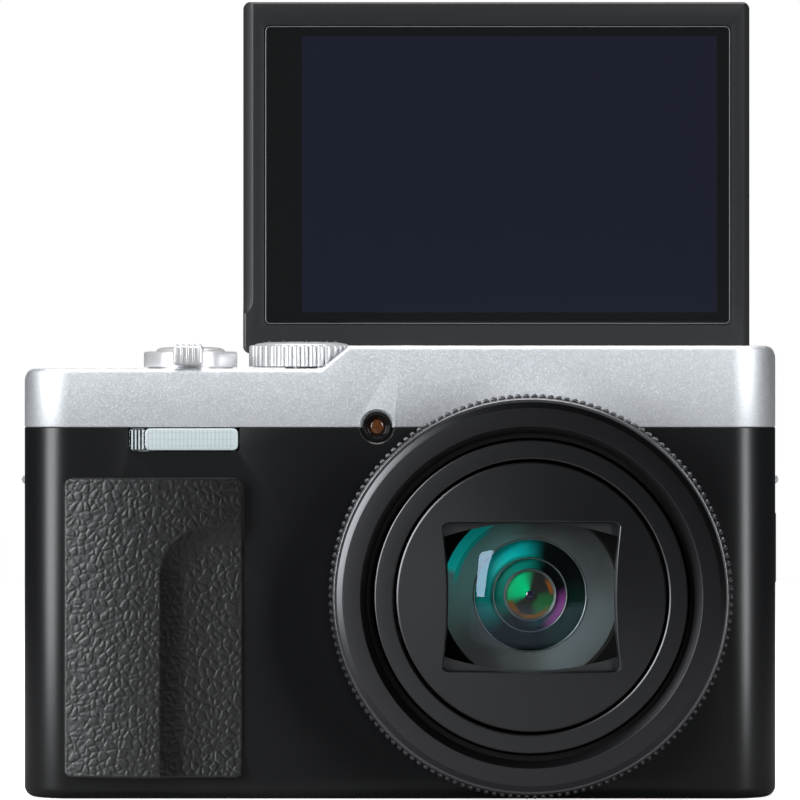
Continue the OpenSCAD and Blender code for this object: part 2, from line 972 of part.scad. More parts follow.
module battery_door() {
  color([0.08, 0.08, 0.085])
    difference() {
      union() {
        block([door_axis_x, door_front, 0.1], [door_right, door_back, door_top]);
        translate([door_axis_x, door_front, door_axis_z])
          rotate([-90, 0, 0])
            cylinder(h = door_back - door_front, r = door_knuckle_r, $fn = small);
      }
      translate([door_axis_x, door_front - cut, door_axis_z])
        rotate([-90, 0, 0])
          cylinder(h = door_back - door_front + 2 * cut, r = door_pin_r + running_gap, $fn = small);
      block([latch_recess[0][0], latch_recess[0][1], -cut], latch_recess[1]);
      block([latch_slit[0][0], latch_slit[0][1], -cut], [latch_slit[1][0], latch_slit[1][1], door_top + cut]);
    }
}

module battery_latch() {
  color([0.2, 0.2, 0.2])
    union() {
      block(latch_pad[0], latch_pad[1]);
      block(latch_stem[0], latch_stem[1]);
      block(latch_hook[0], latch_hook[1]);
    }
}

module terminal_door() {
  color([0.07, 0.07, 0.075])
    difference() {
      union() {
        block([terminal_inner_x, terminal_front, terminal_low], [terminal_outer_x, terminal_axis_y, terminal_high]);
        translate([terminal_axis_x, terminal_axis_y, terminal_low])
          cylinder(h = terminal_high - terminal_low, r = terminal_knuckle_r, $fn = small);
      }
      translate([terminal_axis_x, terminal_axis_y, terminal_low - cut])
        cylinder(h = terminal_high - terminal_low + 2 * cut, r = terminal_pin_r + running_gap, $fn = small);
    }
}

// A folded metal shell that is open towards the side of the camera.
module socket_shell(low, high) {
  difference() {
    block([socket_deep, low[0], low[1]], [socket_open, high[0], high[1]]);
    block(
      [socket_floor, low[0] + socket_wall, low[1] + socket_wall],
      [half_width, high[0] - socket_wall, high[1] - socket_wall]
    );
  }
}

module usb_socket() {
  color([0.75, 0.75, 0.75])
    socket_shell(usb_low, usb_high);
}

module hdmi_socket() {
  color([0.75, 0.75, 0.75])
    socket_shell(hdmi_low, hdmi_high);
}

module speaker() {
  color([0.2, 0.2, 0.2])
    disc_z(speaker_x, speaker_y, base_thick, base_thick + speaker_thick, speaker_r);
}

module microphones() {
  color([0.6, 0.6, 0.55])
    for (x = mic_xs)
      disc_z(x, mic_y, hump_z - wall - mic_thick, hump_z - wall, mic_r);
}

module eyepiece_frame() {
  color([0.06, 0.06, 0.06])
    difference() {
      front_plate_block(eye_left, eye_low, eye_width, eye_height, eyecup_front, relief_y, eyecup_r);
      front_plate_block(
        eye_left + eyecup_side, eye_low + eyecup_rim, eye_width - 2 * eyecup_side, eye_height - 2 * eyecup_rim,
        eyecup_front - cut, relief_y + cut, eyecup_r - 0.2
      );
    }
}

module eyepiece_lens() {
  color([0.3, 0.35, 0.4, 0.5])
    front_plate_block(
      eye_left + eyecup_side + eye_glass_gap, eye_low + eyecup_rim + eye_glass_gap,
      eye_width - 2 * (eyecup_side + eye_glass_gap), eye_height - 2 * (eyecup_rim + eye_glass_gap),
      eye_glass_front, eye_glass_back, eyecup_r - 0.3
    );
}

module finder_module() {
  color([0.12, 0.12, 0.12])
    block(finder_low, finder_high);
}

module diopter_wheel() {
  color([0.1, 0.1, 0.1])
    difference() {
      disc_z(wheel_x, wheel_y, wheel_low, wheel_high, wheel_r);
      for (angle = [0:20:340])
        translate([wheel_x, wheel_y, wheel_low - cut])
          rotate([0, 0, angle])
            translate([wheel_r + wheel_notch_out, 0, 0])
              cylinder(h = wheel_high - wheel_low + 2 * cut, r = wheel_notch_r, $fn = 16);
    }
}

// The frame's fixed plate and knuckles with the pin through them.
module screen_hinge_bracket() {
  color([0.5, 0.5, 0.52]) {
    block([bracket_left, bracket_back - bracket_thick, bracket_low], [bracket_right, bracket_back, bracket_high]);
    for (span = bracket_spans) {
      block(
        [span[0], bracket_back, hinge_z - bracket_ear_half],
        [span[0] + span[1], hinge_y, hinge_z + bracket_ear_half]
      );
      translate([span[0], hinge_y, hinge_z])
        rotate([0, 90, 0])
          cylinder(h = span[1], r = knuckle_r, $fn = small);
    }
    translate([bracket_left, hinge_y, hinge_z])
      rotate([0, 90, 0])
        cylinder(h = bracket_right - bracket_left, r = pin_r, $fn = small);
  }
}

module screen_frame() {
  color([0.2, 0.2, 0.21])
    difference() {
      union() {
        front_plate_block(
          panel_left, panel_low, panel_width, panel_height, panel_front, panel_front + panel_thick, 1
        );
        for (x = arm_xs) {
          block([x, hinge_y + 0.1, hinge_z], [x + arm_width, hinge_y + arm_thick, panel_low + cut]);
          translate([x, hinge_y, hinge_z])
            rotate([0, 90, 0])
              cylinder(h = arm_width, r = knuckle_r, $fn = small);
        }
      }
      front_plate_block(
        glass_left - 0.1, glass_low - 0.1, glass_width + 0.2, glass_height + 0.2,
        panel_front - cut, panel_front + glass_sink + glass_thick, 0.9
      );
      block(
        [display_left - 0.1, panel_front, display_low - 0.1],
        [display_left + display_width + 0.1, panel_front + glass_thick + display_thick + 0.2, display_low + display_height + 0.1]
      );
      for (x = arm_xs)
        translate([x - cut, hinge_y, hinge_z])
          rotate([0, 90, 0])
            cylinder(h = arm_width + 2 * cut, r = pin_r + running_gap, $fn = small);
    }
}

module screen_glass() {
  color([0.03, 0.03, 0.04])
    front_plate_block(
      glass_left, glass_low, glass_width, glass_height,
      panel_front + glass_sink, panel_front + glass_sink + glass_thick, 0.8
    );
}

module screen_display() {
  color([0.1, 0.11, 0.15])
    block(
      [display_left, panel_front + glass_sink + glass_thick, display_low],
      [
        display_left + display_width,
        panel_front + glass_sink + glass_thick + display_thick,
        display_low + display_height
      ]
    );
}

module zoom_lever() {
  color([0.7, 0.71, 0.72])
    difference() {
      union() {
        disc_z(shutter_x, shutter_y, lever_skirt, lever_top, lever_r);
        disc_z(shutter_x, shutter_y, lever_low, lever_skirt + 0.5, lever_neck_r);
        disc_z(shutter_x, shutter_y, lever_low, lever_low + lever_lip, lever_lip_r);
        block([shutter_x - tab_half, tab_front, tab_low], [shutter_x + tab_half, shutter_y - 5.8, tab_top]);
      }
      disc_z(shutter_x, shutter_y, lever_low - 1, tab_top + 1, lever_bore_r);
      for (step = [-1.5:1:1.5])
        translate([shutter_x + step * tab_groove_step - tab_groove / 2, tab_front - 1, tab_top - tab_groove])
          cube([tab_groove, 7, 1]);
    }
}

module shutter_button() {
  color([0.75, 0.76, 0.77])
    union() {
      disc_z(shutter_x, shutter_y, shutter_skirt, shutter_top, shutter_r);
      disc_z(shutter_x, shutter_y, stem_low, shutter_skirt + 0.5, stem_r);
    }
}

module mode_dial() {
  color([0.7, 0.7, 0.72])
    union() {
      difference() {
        disc_z(dial_x, dial_y, dial_low, dial_top, dial_r);
        for (angle = [0:10:350])
          translate([dial_x, dial_y, dial_low - 1])
            rotate([0, 0, angle])
              translate([dial_r + 0.1, 0, 0])
                cylinder(h = 4, r = dial_notch_r, $fn = 16);
      }
      disc_z(dial_x, dial_y, dial_stem_low, dial_low + 1, dial_stem_r);
      disc_z(dial_x, dial_y, dial_stem_low, dial_stem_low + dial_foot, dial_foot_r);
    }
}

module power_button() {
  color([0.7, 0.7, 0.72])
    union() {
      disc_z(power_x, power_y, power_low, power_top, power_r);
      disc_z(power_x, power_y, power_low, power_low + button_flange, power_flange_r);
    }
}

module movie_button() {
  color([0.6, 0.1, 0.1])
    union() {
      disc_z(movie_x, movie_y, movie_low, movie_top, movie_r);
      disc_z(movie_x, movie_y, movie_low, movie_low + button_flange, movie_flange_r);
    }
}

module rear_dial() {
  color([0.12, 0.12, 0.12])
    difference() {
      disc_y(rear_dial_x, rear_dial_z, rear_dial_deep, rear_dial_face, rear_dial_r);
      disc_y(rear_dial_x, rear_dial_z, rear_dial_deep - 1, rear_dial_face + 1, dial_hub_r);
    }
}

module set_button() {
  color([0.15, 0.15, 0.15])
    disc_y(rear_dial_x, rear_dial_z, 12, 15.5, set_r);
}

module playback_button() {
  color([0.15, 0.15, 0.15])
    disc_y(playback_x, rear_button_z, 12.2, 15, rear_button_r);
}

module delete_button() {
  color([0.15, 0.15, 0.15])
    disc_y(delete_x, rear_button_z, 12.2, 15, rear_button_r);
}

front_cover();
rear_cover();
top_cover();
base_cover();
grip_leather();
thumb_rest();
strap_lugs();
case_screws();
chassis_plate();
tripod_socket();
flash_window();
flash_reflector();
flash_capacitor();
af_lamp_ring();
af_lamp_lens();
lens_housing();
lens_trim_ring();
control_ring();
drive_ring();
zoom_motor();
barrel_1();
barrel_2();
front_plate();
barrier_leaves();
front_glass();
inner_glass();
guide_rods();
rear_lens_holder();
rear_glass();
sensor_plate();
image_sensor();
main_board();
battery();
battery_case();
memory_card();
card_slot();
battery_door();
battery_latch();
terminal_door();
usb_socket();
hdmi_socket();
speaker();
microphones();
eyepiece_frame();
eyepiece_lens();
finder_module();
diopter_wheel();
screen_hinge_bracket();
screen_frame();
screen_glass();
screen_display();
zoom_lever();
shutter_button();
mode_dial();
power_button();
movie_button();
rear_dial();
set_button();
playback_button();
delete_button();
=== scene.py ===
# %% [markdown]
# # Compact digital camera with a flip-up screen
# This lesson dresses an exact, jointed CAD model of a pocket camera with shapes and finishes that
# hold up in a close render. Every cell builds one real piece, sets it in the shared frame (metres,
# +X right seen from the front, -Y towards the subject, +Z up) and hands it to the body it moves with.

# %% Load the frame
import json
import math

import bmesh
import bpy
from mathutils import Euler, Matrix, Vector, noise as field


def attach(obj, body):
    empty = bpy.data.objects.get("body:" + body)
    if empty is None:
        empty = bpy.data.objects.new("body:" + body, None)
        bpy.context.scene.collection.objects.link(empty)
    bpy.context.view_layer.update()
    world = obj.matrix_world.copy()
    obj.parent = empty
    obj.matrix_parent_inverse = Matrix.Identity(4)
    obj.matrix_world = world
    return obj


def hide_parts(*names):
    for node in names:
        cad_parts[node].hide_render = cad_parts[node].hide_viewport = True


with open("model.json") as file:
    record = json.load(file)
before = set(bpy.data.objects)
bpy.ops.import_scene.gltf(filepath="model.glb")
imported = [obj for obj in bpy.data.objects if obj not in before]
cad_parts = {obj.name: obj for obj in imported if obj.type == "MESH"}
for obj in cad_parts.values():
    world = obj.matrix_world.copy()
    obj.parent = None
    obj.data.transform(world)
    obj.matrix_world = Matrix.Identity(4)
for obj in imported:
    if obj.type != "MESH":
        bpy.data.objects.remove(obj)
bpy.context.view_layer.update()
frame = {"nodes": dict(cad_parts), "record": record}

# %% [markdown]
# ## Small tools
# Most of a camera is one of three shapes: something turned on a lathe (rings, barrels, knobs),
# something lofted through stacked outlines (panels and covers), or one of those with holes cut.
# Three helpers cover all of it. Real edges are never sharp, so both builders round their corners
# by adding points, which is what gives each edge its thin line of light.

# %% Make a mesh object from points and faces
MM = 0.001


def make_mesh(name, points, faces):
    mesh = bpy.data.meshes.new(name)
    mesh.from_pydata([tuple(c * MM for c in p) for p in points], [], faces)
    mesh.validate()
    work = bmesh.new()
    work.from_mesh(mesh)
    bmesh.ops.remove_doubles(work, verts=work.verts, dist=1e-7)
    bmesh.ops.recalc_face_normals(work, faces=work.faces)
    work.to_mesh(mesh)
    work.free()
    obj = bpy.data.objects.new(name, mesh)
    bpy.context.scene.collection.objects.link(obj)
    return obj


SMOOTH_ANGLE = math.radians(32)


def smooth(obj, angle=SMOOTH_ANGLE):
    obj.data.polygons.foreach_set("use_smooth", [True] * len(obj.data.polygons))
    obj.data.set_sharp_from_angle(angle=angle)
    return obj


# %% Round the corners of an outline
def fillet(points, radius, steps=4, closed=True):
    made = []
    count = len(points)
    for i, p in enumerate(points):
        r = radius[i] if isinstance(radius, (list, tuple)) else radius
        if r <= 0 or (not closed and i in (0, count - 1)):
            made.append(tuple(p))
            continue
        here = Vector(p)
        to_a = Vector(points[i - 1]) - here
        to_b = Vector(points[(i + 1) % count]) - here
        half = to_a.angle(to_b) / 2
        reach = min(r / math.tan(half), 0.49 * to_a.length, 0.49 * to_b.length)
        r = reach * math.tan(half)
        to_a.normalize()
        to_b.normalize()
        centre = here + (to_a + to_b).normalized() * (r / math.sin(half))
        start = here + to_a * reach - centre
        end = here + to_b * reach - centre
        for k in range(steps + 1):
            arm = start.lerp(end, k / steps)
            arm = arm.normalized() * r
            made.append(tuple(centre + arm))
    return made


# %% Turn a profile on a lathe
LENS_X, LENS_Z = 19.1, 30.4


def set_in_space(u, v, depth, axis):
    """A point from its flat place (u, v) and its depth; axis names the direction of the depth."""
    return {"Y": (u, depth, v), "Z": (u, v, depth), "X": (depth, u, v)}[axis]


def lathe(name, profile, axis="Y", at=(LENS_X, 0, LENS_Z), steps=192, closed=True):
    """profile holds (radius, distance along the axis) in mm; closed means a ring with a hollow."""
    points, faces = [], []
    n = len(profile)
    for i in range(steps):
        a = 2 * math.pi * i / steps
        for r, d in profile:
            spot = set_in_space(r * math.cos(a), r * math.sin(a), d, axis)
            points.append(tuple(base + away for base, away in zip(at, spot)))
    spans = n if closed else n - 1
    for i in range(steps):
        j = (i + 1) % steps
        for k in range(spans):
            m = (k + 1) % n
            faces.append((i * n + k, j * n + k, j * n + m, i * n + m))
    return smooth(make_mesh(name, points, faces))


# %% Loft through stacked outlines
def skin_faces(count, levels, closed=False):
    """Quads between neighbouring outlines of count points; closed joins the last to the first."""
    faces = []
    for a in range(levels if closed else levels - 1):
        b = (a + 1) % levels
        for k in range(count):
            m = (k + 1) % count
            faces.append((a * count + k, a * count + m, b * count + m, b * count + k))
    return faces


def loft(name, rings):
    n = len(rings[0])
    points = [p for ring in rings for p in ring]
    ends = [tuple(range(n))[::-1], tuple(range((len(rings) - 1) * n, len(rings) * n))]
    return smooth(make_mesh(name, points, ends + skin_faces(n, len(rings))))


def quarter(radius, steps):
    """(back from the face, in from the side) along a rounded rim, starting at the side."""
    turns = [math.pi / 2 * k / steps for k in range(steps + 1)]
    return [(radius * (1 - math.sin(a)), radius * (1 - math.cos(a))) for a in turns]


def round_rect(x0, x1, z0, z1, r, inset=0.0, steps=8):
    x0, x1, z0, z1 = x0 + inset, x1 - inset, z0 + inset, z1 - inset
    r = max(r - inset, 0.02)
    made = []
    for cx, cz, start in ((x1 - r, z0 + r, -90), (x1 - r, z1 - r, 0), (x0 + r, z1 - r, 90), (x0 + r, z0 + r, 180)):
        for k in range(steps + 1):
            a = math.radians(start + 90 * k / steps)
            made.append((cx + r * math.cos(a), cz + r * math.sin(a)))
    return made


def slab(name, x0, x1, z0, z1, y0, y1, corner=1.0, edge=0.3, back_edge=None, steps=4, facing="Y"):
    """A plate with rounded corners and rounded rims. facing names the axis it is thin along."""
    first = [(y0 + back, inset) for back, inset in quarter(edge, steps)[::-1]]
    last = [(y1 - back, inset) for back, inset in quarter(edge if back_edge is None else back_edge, steps)]
    return loft(name, [[set_in_space(u, v, depth, facing) for u, v in round_rect(x0, x1, z0, z1, corner, inset)]
                       for depth, inset in first + last])


# %% Cut one solid with others and bake what a modifier makes
def bake(obj):
    graph = bpy.context.evaluated_depsgraph_get()
    mesh = bpy.data.meshes.new_from_object(obj.evaluated_get(graph))
    obj.modifiers.clear()
    old = obj.data
    obj.data = mesh
    bpy.data.meshes.remove(old)
    return obj


def cut(obj, *cutters, operation="DIFFERENCE"):
    for cutter in cutters:
        step = obj.modifiers.new("cut", "BOOLEAN")
        step.operation = operation
        step.solver = "EXACT"
        step.object = cutter
        bpy.context.view_layer.update()
        bake(obj)
        bpy.data.objects.remove(cutter)
    return smooth(obj)


def box(x0, x1, y0, y1, z0, z1):
    flat = [(x, y, z) for x in (x0, x1) for y in (y0, y1) for z in (z0, z1)]
    faces = [(0, 1, 3, 2), (4, 6, 7, 5), (0, 4, 5, 1), (2, 3, 7, 6), (0, 2, 6, 4), (1, 5, 7, 3)]
    return make_mesh("cutter", flat, faces)


def rod(x, y, z, r, low, high, axis="Y", steps=96):
    at = {"Y": (x, 0, z), "Z": (x, y, 0), "X": (0, y, z)}[axis]
    return lathe("cutter", [(0, low), (r, low), (r, high), (0, high)], axis, at, steps, closed=False)


def soften(obj, width, angle=40):
    """A narrow rounding on every edge sharper than the angle, in mm."""
    step = obj.modifiers.new("soften", "BEVEL")
    step.width = width * MM
    step.segments = 2
    step.limit_method = "ANGLE"
    step.angle_limit = math.radians(angle)
    step.use_clamp_overlap = True
    step.harden_normals = False
    bpy.context.view_layer.update()
    return smooth(bake(obj))


placed = []


def place(obj, body, material, slot_name, *nodes):
    obj.data.materials.clear()
    obj.data.materials.append(material)
    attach(obj, body)
    if nodes:
        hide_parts(*nodes)
    placed.append(obj.name)
    print(obj.name, "rides on", body, "with", len(obj.data.polygons), "faces")
    return obj

# %% [markdown]
# ## Finishes
# Lacquer, anodised aluminium, leatherette and coated glass differ mostly in how fine their relief
# is and how it breaks the light. Each relief is a node group with named inputs, so one group serves
# several materials with different numbers. The groups only give masks and heights; the shader and
# its constants stay in the material, where they are easy to change.

# %% Node helpers
def new_group(name, inputs, outputs):
    group = bpy.data.node_groups.new(name, "ShaderNodeTree")
    for label, value in inputs:
        socket = group.interface.new_socket(label, in_out="INPUT", socket_type="NodeSocketFloat")
        socket.default_value = value
    for label, kind in outputs:
        group.interface.new_socket(label, in_out="OUTPUT", socket_type=kind)
    start = group.nodes.new("NodeGroupInput")
    end = group.nodes.new("NodeGroupOutput")
    return group, start, end


def link(tree, a, b):
    tree.links.new(a, b)


def object_coordinates(tree):
    return tree.nodes.new("ShaderNodeTexCoord").outputs["Object"]


def math_node(tree, operation, a, b=None):
    node = tree.nodes.new("ShaderNodeMath")
    node.operation = operation
    for i, value in enumerate((a, b)):
        if value is None:
            continue
        if isinstance(value, (int, float)):
            node.inputs[i].default_value = value
        else:
            link(tree, value, node.inputs[i])
    return node.outputs[0]


# %% Group: fine grain that lacquer and moulded plastic share
grain_group, start, end = new_group(
    "fine_grain", [("Scale", 4000.0), ("Contrast", 1.0)],
    [("Height", "NodeSocketFloat"), ("Mask", "NodeSocketFloat")]
)
noise = grain_group.nodes.new("ShaderNodeTexNoise")
noise.inputs["Detail"].default_value = 3.0
link(grain_group, object_coordinates(grain_group), noise.inputs["Vector"])
link(grain_group, start.outputs["Scale"], noise.inputs["Scale"])
height = math_node(grain_group, "MULTIPLY", noise.outputs["Fac"], start.outputs["Contrast"])
link(grain_group, height, end.inputs["Height"])
link(grain_group, noise.outputs["Fac"], end.inputs["Mask"])

# %% Group: metal flakes in the silver lacquer
flake_group, start, end = new_group(
    "metal_flakes", [("Scale", 9000.0), ("Share", 0.25)], [("Mask", "NodeSocketFloat"), ("Tint", "NodeSocketFloat")]
)
cells = flake_group.nodes.new("ShaderNodeTexVoronoi")
link(flake_group, object_coordinates(flake_group), cells.inputs["Vector"])
link(flake_group, start.outputs["Scale"], cells.inputs["Scale"])
split = flake_group.nodes.new("ShaderNodeSeparateColor")
link(flake_group, cells.outputs["Color"], split.inputs["Color"])
lit = math_node(flake_group, "LESS_THAN", split.outputs["Red"], start.outputs["Share"])
link(flake_group, lit, end.inputs["Mask"])
link(flake_group, split.outputs["Green"], end.inputs["Tint"])

# %% Group: the fine pores of leatherette
pore_group, start, end = new_group(
    "pores", [("Scale", 5200.0), ("Depth", 1.0)], [("Height", "NodeSocketFloat"), ("Mask", "NodeSocketFloat")]
)
coordinates = object_coordinates(pore_group)
cells = pore_group.nodes.new("ShaderNodeTexVoronoi")
cells.feature = "SMOOTH_F1"
cells.inputs["Smoothness"].default_value = 0.3
link(pore_group, coordinates, cells.inputs["Vector"])
link(pore_group, start.outputs["Scale"], cells.inputs["Scale"])
cloud = pore_group.nodes.new("ShaderNodeTexNoise")
cloud.inputs["Scale"].default_value = 900.0
link(pore_group, coordinates, cloud.inputs["Vector"])
pore = math_node(pore_group, "MULTIPLY", cells.outputs["Distance"], start.outputs["Depth"])
link(pore_group, pore, end.inputs["Height"])
link(pore_group, cloud.outputs["Fac"], end.inputs["Mask"])

# %% Group: turning marks that run round the lens axis
turn_group, start, end = new_group(
    "turning_marks", [("Pitch", 9000.0), ("Strength", 1.0)], [("Height", "NodeSocketFloat")]
)
move = turn_group.nodes.new("ShaderNodeVectorMath")
move.operation = "SUBTRACT"
move.inputs[1].default_value = (LENS_X * MM, 0, LENS_Z * MM)
link(turn_group, object_coordinates(turn_group), move.inputs[0])
flat = turn_group.nodes.new("ShaderNodeVectorMath")
flat.operation = "MULTIPLY"
flat.inputs[1].default_value = (1, 0, 1)
link(turn_group, move.outputs[0], flat.inputs[0])
size = turn_group.nodes.new("ShaderNodeVectorMath")
size.operation = "LENGTH"
link(turn_group, flat.outputs[0], size.inputs[0])
noise = turn_group.nodes.new("ShaderNodeTexNoise")
noise.noise_dimensions = "1D"
noise.inputs["Detail"].default_value = 2.0
link(turn_group, math_node(turn_group, "MULTIPLY", size.outputs["Value"], start.outputs["Pitch"]), noise.inputs["W"])
noise.inputs["Scale"].default_value = 1.0
link(turn_group, math_node(turn_group, "MULTIPLY", noise.outputs["Fac"], start.outputs["Strength"]),
     end.inputs["Height"])


# %% [markdown]
# ### One recipe, many materials
# A finish here is a base colour that drifts slightly with a mask, a roughness that drifts with the
# same mask, and a small bump. Writing that once keeps every material short and makes sure that none
# of them is a single flat colour.

# %% The material recipe
def finish(name, color, rough, metallic=0.0, group=None, values=(), drift=0.12, rough_drift=0.1,
           bump=0.1, bump_mm=0.02, coat=0.0, coat_rough=0.1, specular=0.5):
    material = bpy.data.materials.new(name)
    material.use_nodes = True
    tree = material.node_tree
    shader = tree.nodes["Principled BSDF"]
    shader.inputs["Metallic"].default_value = metallic
    shader.inputs["Coat Weight"].default_value = coat
    shader.inputs["Coat Roughness"].default_value = coat_rough
    shader.inputs["Specular IOR Level"].default_value = specular
    call = tree.nodes.new("ShaderNodeGroup")
    call.node_tree = group or grain_group
    for label, value in values:
        call.inputs[label].default_value = value
    mask = call.outputs.get("Mask") or call.outputs["Height"]
    blend = tree.nodes.new("ShaderNodeMix")
    blend.data_type = "RGBA"
    blend.inputs["A"].default_value = (*[c * (1 - drift) for c in color], 1)
    blend.inputs["B"].default_value = (*[min(c * (1 + drift), 1) for c in color], 1)
    link(tree, mask, blend.inputs["Factor"])
    link(tree, blend.outputs["Result"], shader.inputs["Base Color"])
    spread = tree.nodes.new("ShaderNodeMapRange")
    spread.inputs["To Min"].default_value = max(rough - rough_drift / 2, 0.02)
    spread.inputs["To Max"].default_value = rough + rough_drift / 2
    link(tree, mask, spread.inputs["Value"])
    link(tree, spread.outputs["Result"], shader.inputs["Roughness"])
    if bump:
        relief = tree.nodes.new("ShaderNodeBump")
        relief.inputs["Strength"].default_value = bump
        relief.inputs["Distance"].default_value = bump_mm * MM
        link(tree, call.outputs.get("Height") or mask, relief.inputs["Height"])
        link(tree, relief.outputs["Normal"], shader.inputs["Normal"])
    return material


# %% The camera's finishes
black_case = finish("black_case", (0.0055, 0.0057, 0.0063), 0.3, values=[("Scale", 5200.0)], bump=0.16, bump_mm=0.03,
                    specular=0.42)
silver_case = finish("silver_case", (0.8, 0.82, 0.85), 0.56, metallic=1.0, group=flake_group, drift=0.07,
                     rough_drift=0.08, bump=0.04, coat=0.2, coat_rough=0.2)
grip_black = finish("grip_black", (0.012, 0.012, 0.0128), 0.44, group=pore_group, bump=0.4, bump_mm=0.02, drift=0.3,
                    specular=0.8)
soft_black = finish("soft_black", (0.012, 0.012, 0.012), 0.6, values=[("Scale", 3000.0)], bump=0.3)
lens_black = finish("lens_black", (0.092, 0.093, 0.098), 0.4, metallic=1.0, group=turn_group, bump=0.12, bump_mm=0.01)
baffle_black = finish("baffle_black", (0.002, 0.002, 0.002), 0.7, bump=0.2, specular=0.15)
knurl_black = finish("knurl_black", (0.19, 0.19, 0.2), 0.36, metallic=1.0, values=[("Scale", 6000.0)], bump=0.1)
trim_black = finish("trim_black", (0.09, 0.09, 0.096), 0.4, metallic=1.0, group=turn_group, bump=0.12, bump_mm=0.01)
bright_edge = finish("bright_edge", (0.072, 0.072, 0.076), 0.34, metallic=1.0, group=turn_group, bump=0.05,
                     bump_mm=0.005)
button_silver = finish("button_silver", (0.72, 0.72, 0.73), 0.3, metallic=0.55, values=[("Scale", 7000.0)],
                       bump=0.1, bump_mm=0.01)
steel = finish("steel", (0.8, 0.8, 0.8), 0.45, metallic=0.9, values=[("Scale", 3000.0)], bump=0.1)
screw_black = finish("screw_black", (0.06, 0.06, 0.065), 0.35, metallic=0.9)
gloss_black = finish("gloss_black", (0.005, 0.005, 0.0055), 0.16, values=[("Scale", 2500.0)], bump=0.05)
frame_grey = finish("frame_grey", (0.017, 0.0176, 0.0186), 0.34, values=[("Scale", 5000.0)], bump=0.25)
painted_bevel_highlight = finish("painted_bevel_highlight", (0.2, 0.205, 0.21), 0.3, values=[("Scale", 5000.0)], bump=0.1)
grey_plastic = finish("grey_plastic", (0.16, 0.16, 0.17), 0.5)
board_green = finish("board_green", (0.02, 0.12, 0.05), 0.35)
card_blue = finish("card_blue", (0.03, 0.05, 0.2), 0.4)
sleeve = finish("sleeve", (0.03, 0.03, 0.06), 0.25)
movie_red = finish("movie_red", (0.3, 0.015, 0.015), 0.25, coat=0.4)
amber = finish("amber", (0.1, 0.034, 0.01), 0.16, values=[("Scale", 2600.0)], drift=0.8, coat=0.4)
reflector = finish("reflector", (0.85, 0.85, 0.86), 0.12, metallic=1.0, values=[("Scale", 800.0)])


# %% [markdown]
# ### Glass
# The front element is coated glass: nearly all light passes through, and what comes back is tinted
# a cool blue. The tint sits on the specular colour of the shader, where a real coating acts. The
# flash window is clear plastic, so it only needs transmission and a little roughness. A shadow ray
# meets a clear surface instead, so the lamps reach what lies behind the glass.

# %% Glass materials
GLASS_SHADE, GLASS_SMEAR = 0.97, 0.02


def glass(name, color, rough, reflection_tint=(1, 1, 1), index=1.5):
    material = bpy.data.materials.new(name)
    material.use_nodes = True
    tree = material.node_tree
    shader = tree.nodes["Principled BSDF"]
    shader.inputs["Transmission Weight"].default_value = 1.0
    shader.inputs["IOR"].default_value = index
    shader.inputs["Specular Tint"].default_value = (*reflection_tint, 1)
    call = tree.nodes.new("ShaderNodeGroup")
    call.node_tree = grain_group
    call.inputs["Scale"].default_value = 900.0
    blend = tree.nodes.new("ShaderNodeMix")
    blend.data_type = "RGBA"
    blend.inputs["A"].default_value = (*[c * GLASS_SHADE for c in color], 1)
    blend.inputs["B"].default_value = (*color, 1)
    link(tree, call.outputs["Mask"], blend.inputs["Factor"])
    link(tree, blend.outputs["Result"], shader.inputs["Base Color"])
    spread = tree.nodes.new("ShaderNodeMapRange")
    spread.inputs["To Min"].default_value = rough
    spread.inputs["To Max"].default_value = rough + GLASS_SMEAR
    link(tree, call.outputs["Mask"], spread.inputs["Value"])
    link(tree, spread.outputs["Result"], shader.inputs["Roughness"])
    clear = tree.nodes.new("ShaderNodeBsdfTransparent")
    either = tree.nodes.new("ShaderNodeMixShader")
    link(tree, tree.nodes.new("ShaderNodeLightPath").outputs["Is Shadow Ray"], either.inputs[0])
    link(tree, shader.outputs[0], either.inputs[1])
    link(tree, clear.outputs[0], either.inputs[2])
    link(tree, either.outputs[0], tree.nodes["Material Output"].inputs["Surface"])
    return material


coated_glass = glass("coated_glass", (0.93, 0.985, 0.985), 0.0, reflection_tint=(0.55, 0.75, 1.0))
clear_plastic = glass("clear_plastic", (0.95, 0.96, 0.97), 0.03)
inner_dark = finish("inner_dark", (0.003, 0.004, 0.006), 0.08, values=[("Scale", 600.0)], bump=0)
print(len(bpy.data.materials), "materials and", len(bpy.data.node_groups), "groups so far")

# %% [markdown]
# ## Body shells
# The lower body is two black shells that meet half way back, like most compacts: the front one
# carries the lens mount, the rear one the screen bay. Their plan is a rectangle with large front
# corners and tight rear ones. Lofting that plan upward lets the foot and the seam edge be rounded
# by shrinking the first and last outlines.

# %% Plan outline
HALF, FRONT, BACK = 56.0, -14.0, 14.5
FRONT_R, BACK_R = 7.0, 3.0
WALL = 1.6
SEAM = 55.0


def plan(inset=0.0, steps=14):
    made = []
    corners = (
        (HALF - FRONT_R, FRONT + FRONT_R, FRONT_R, -90),
        (HALF - BACK_R, BACK - BACK_R, BACK_R, 0),
        (-HALF + BACK_R, BACK - BACK_R, BACK_R, 90),
        (-HALF + FRONT_R, FRONT + FRONT_R, FRONT_R, 180),
    )
    for cx, cy, r, start in corners:
        for k in range(steps + 1):
            a = math.radians(start + 90 * k / steps)
            made.append((cx + (r - inset) * math.cos(a), cy + (r - inset) * math.sin(a)))
    return made


def prism(name, levels):
    """levels holds (height, inset) pairs of the plan outline."""
    return loft(name, [[(x, y, z) for x, y in plan(inset)] for z, inset in levels])


FOOT_R = 1.55
SEAM_R = 0.14


def lower_block(name):
    seam = [(SEAM - SEAM_R, 0), (SEAM - SEAM_R * 0.3, SEAM_R * 0.3), (SEAM, SEAM_R)]
    return prism(name, quarter(FOOT_R, 6)[::-1] + seam)


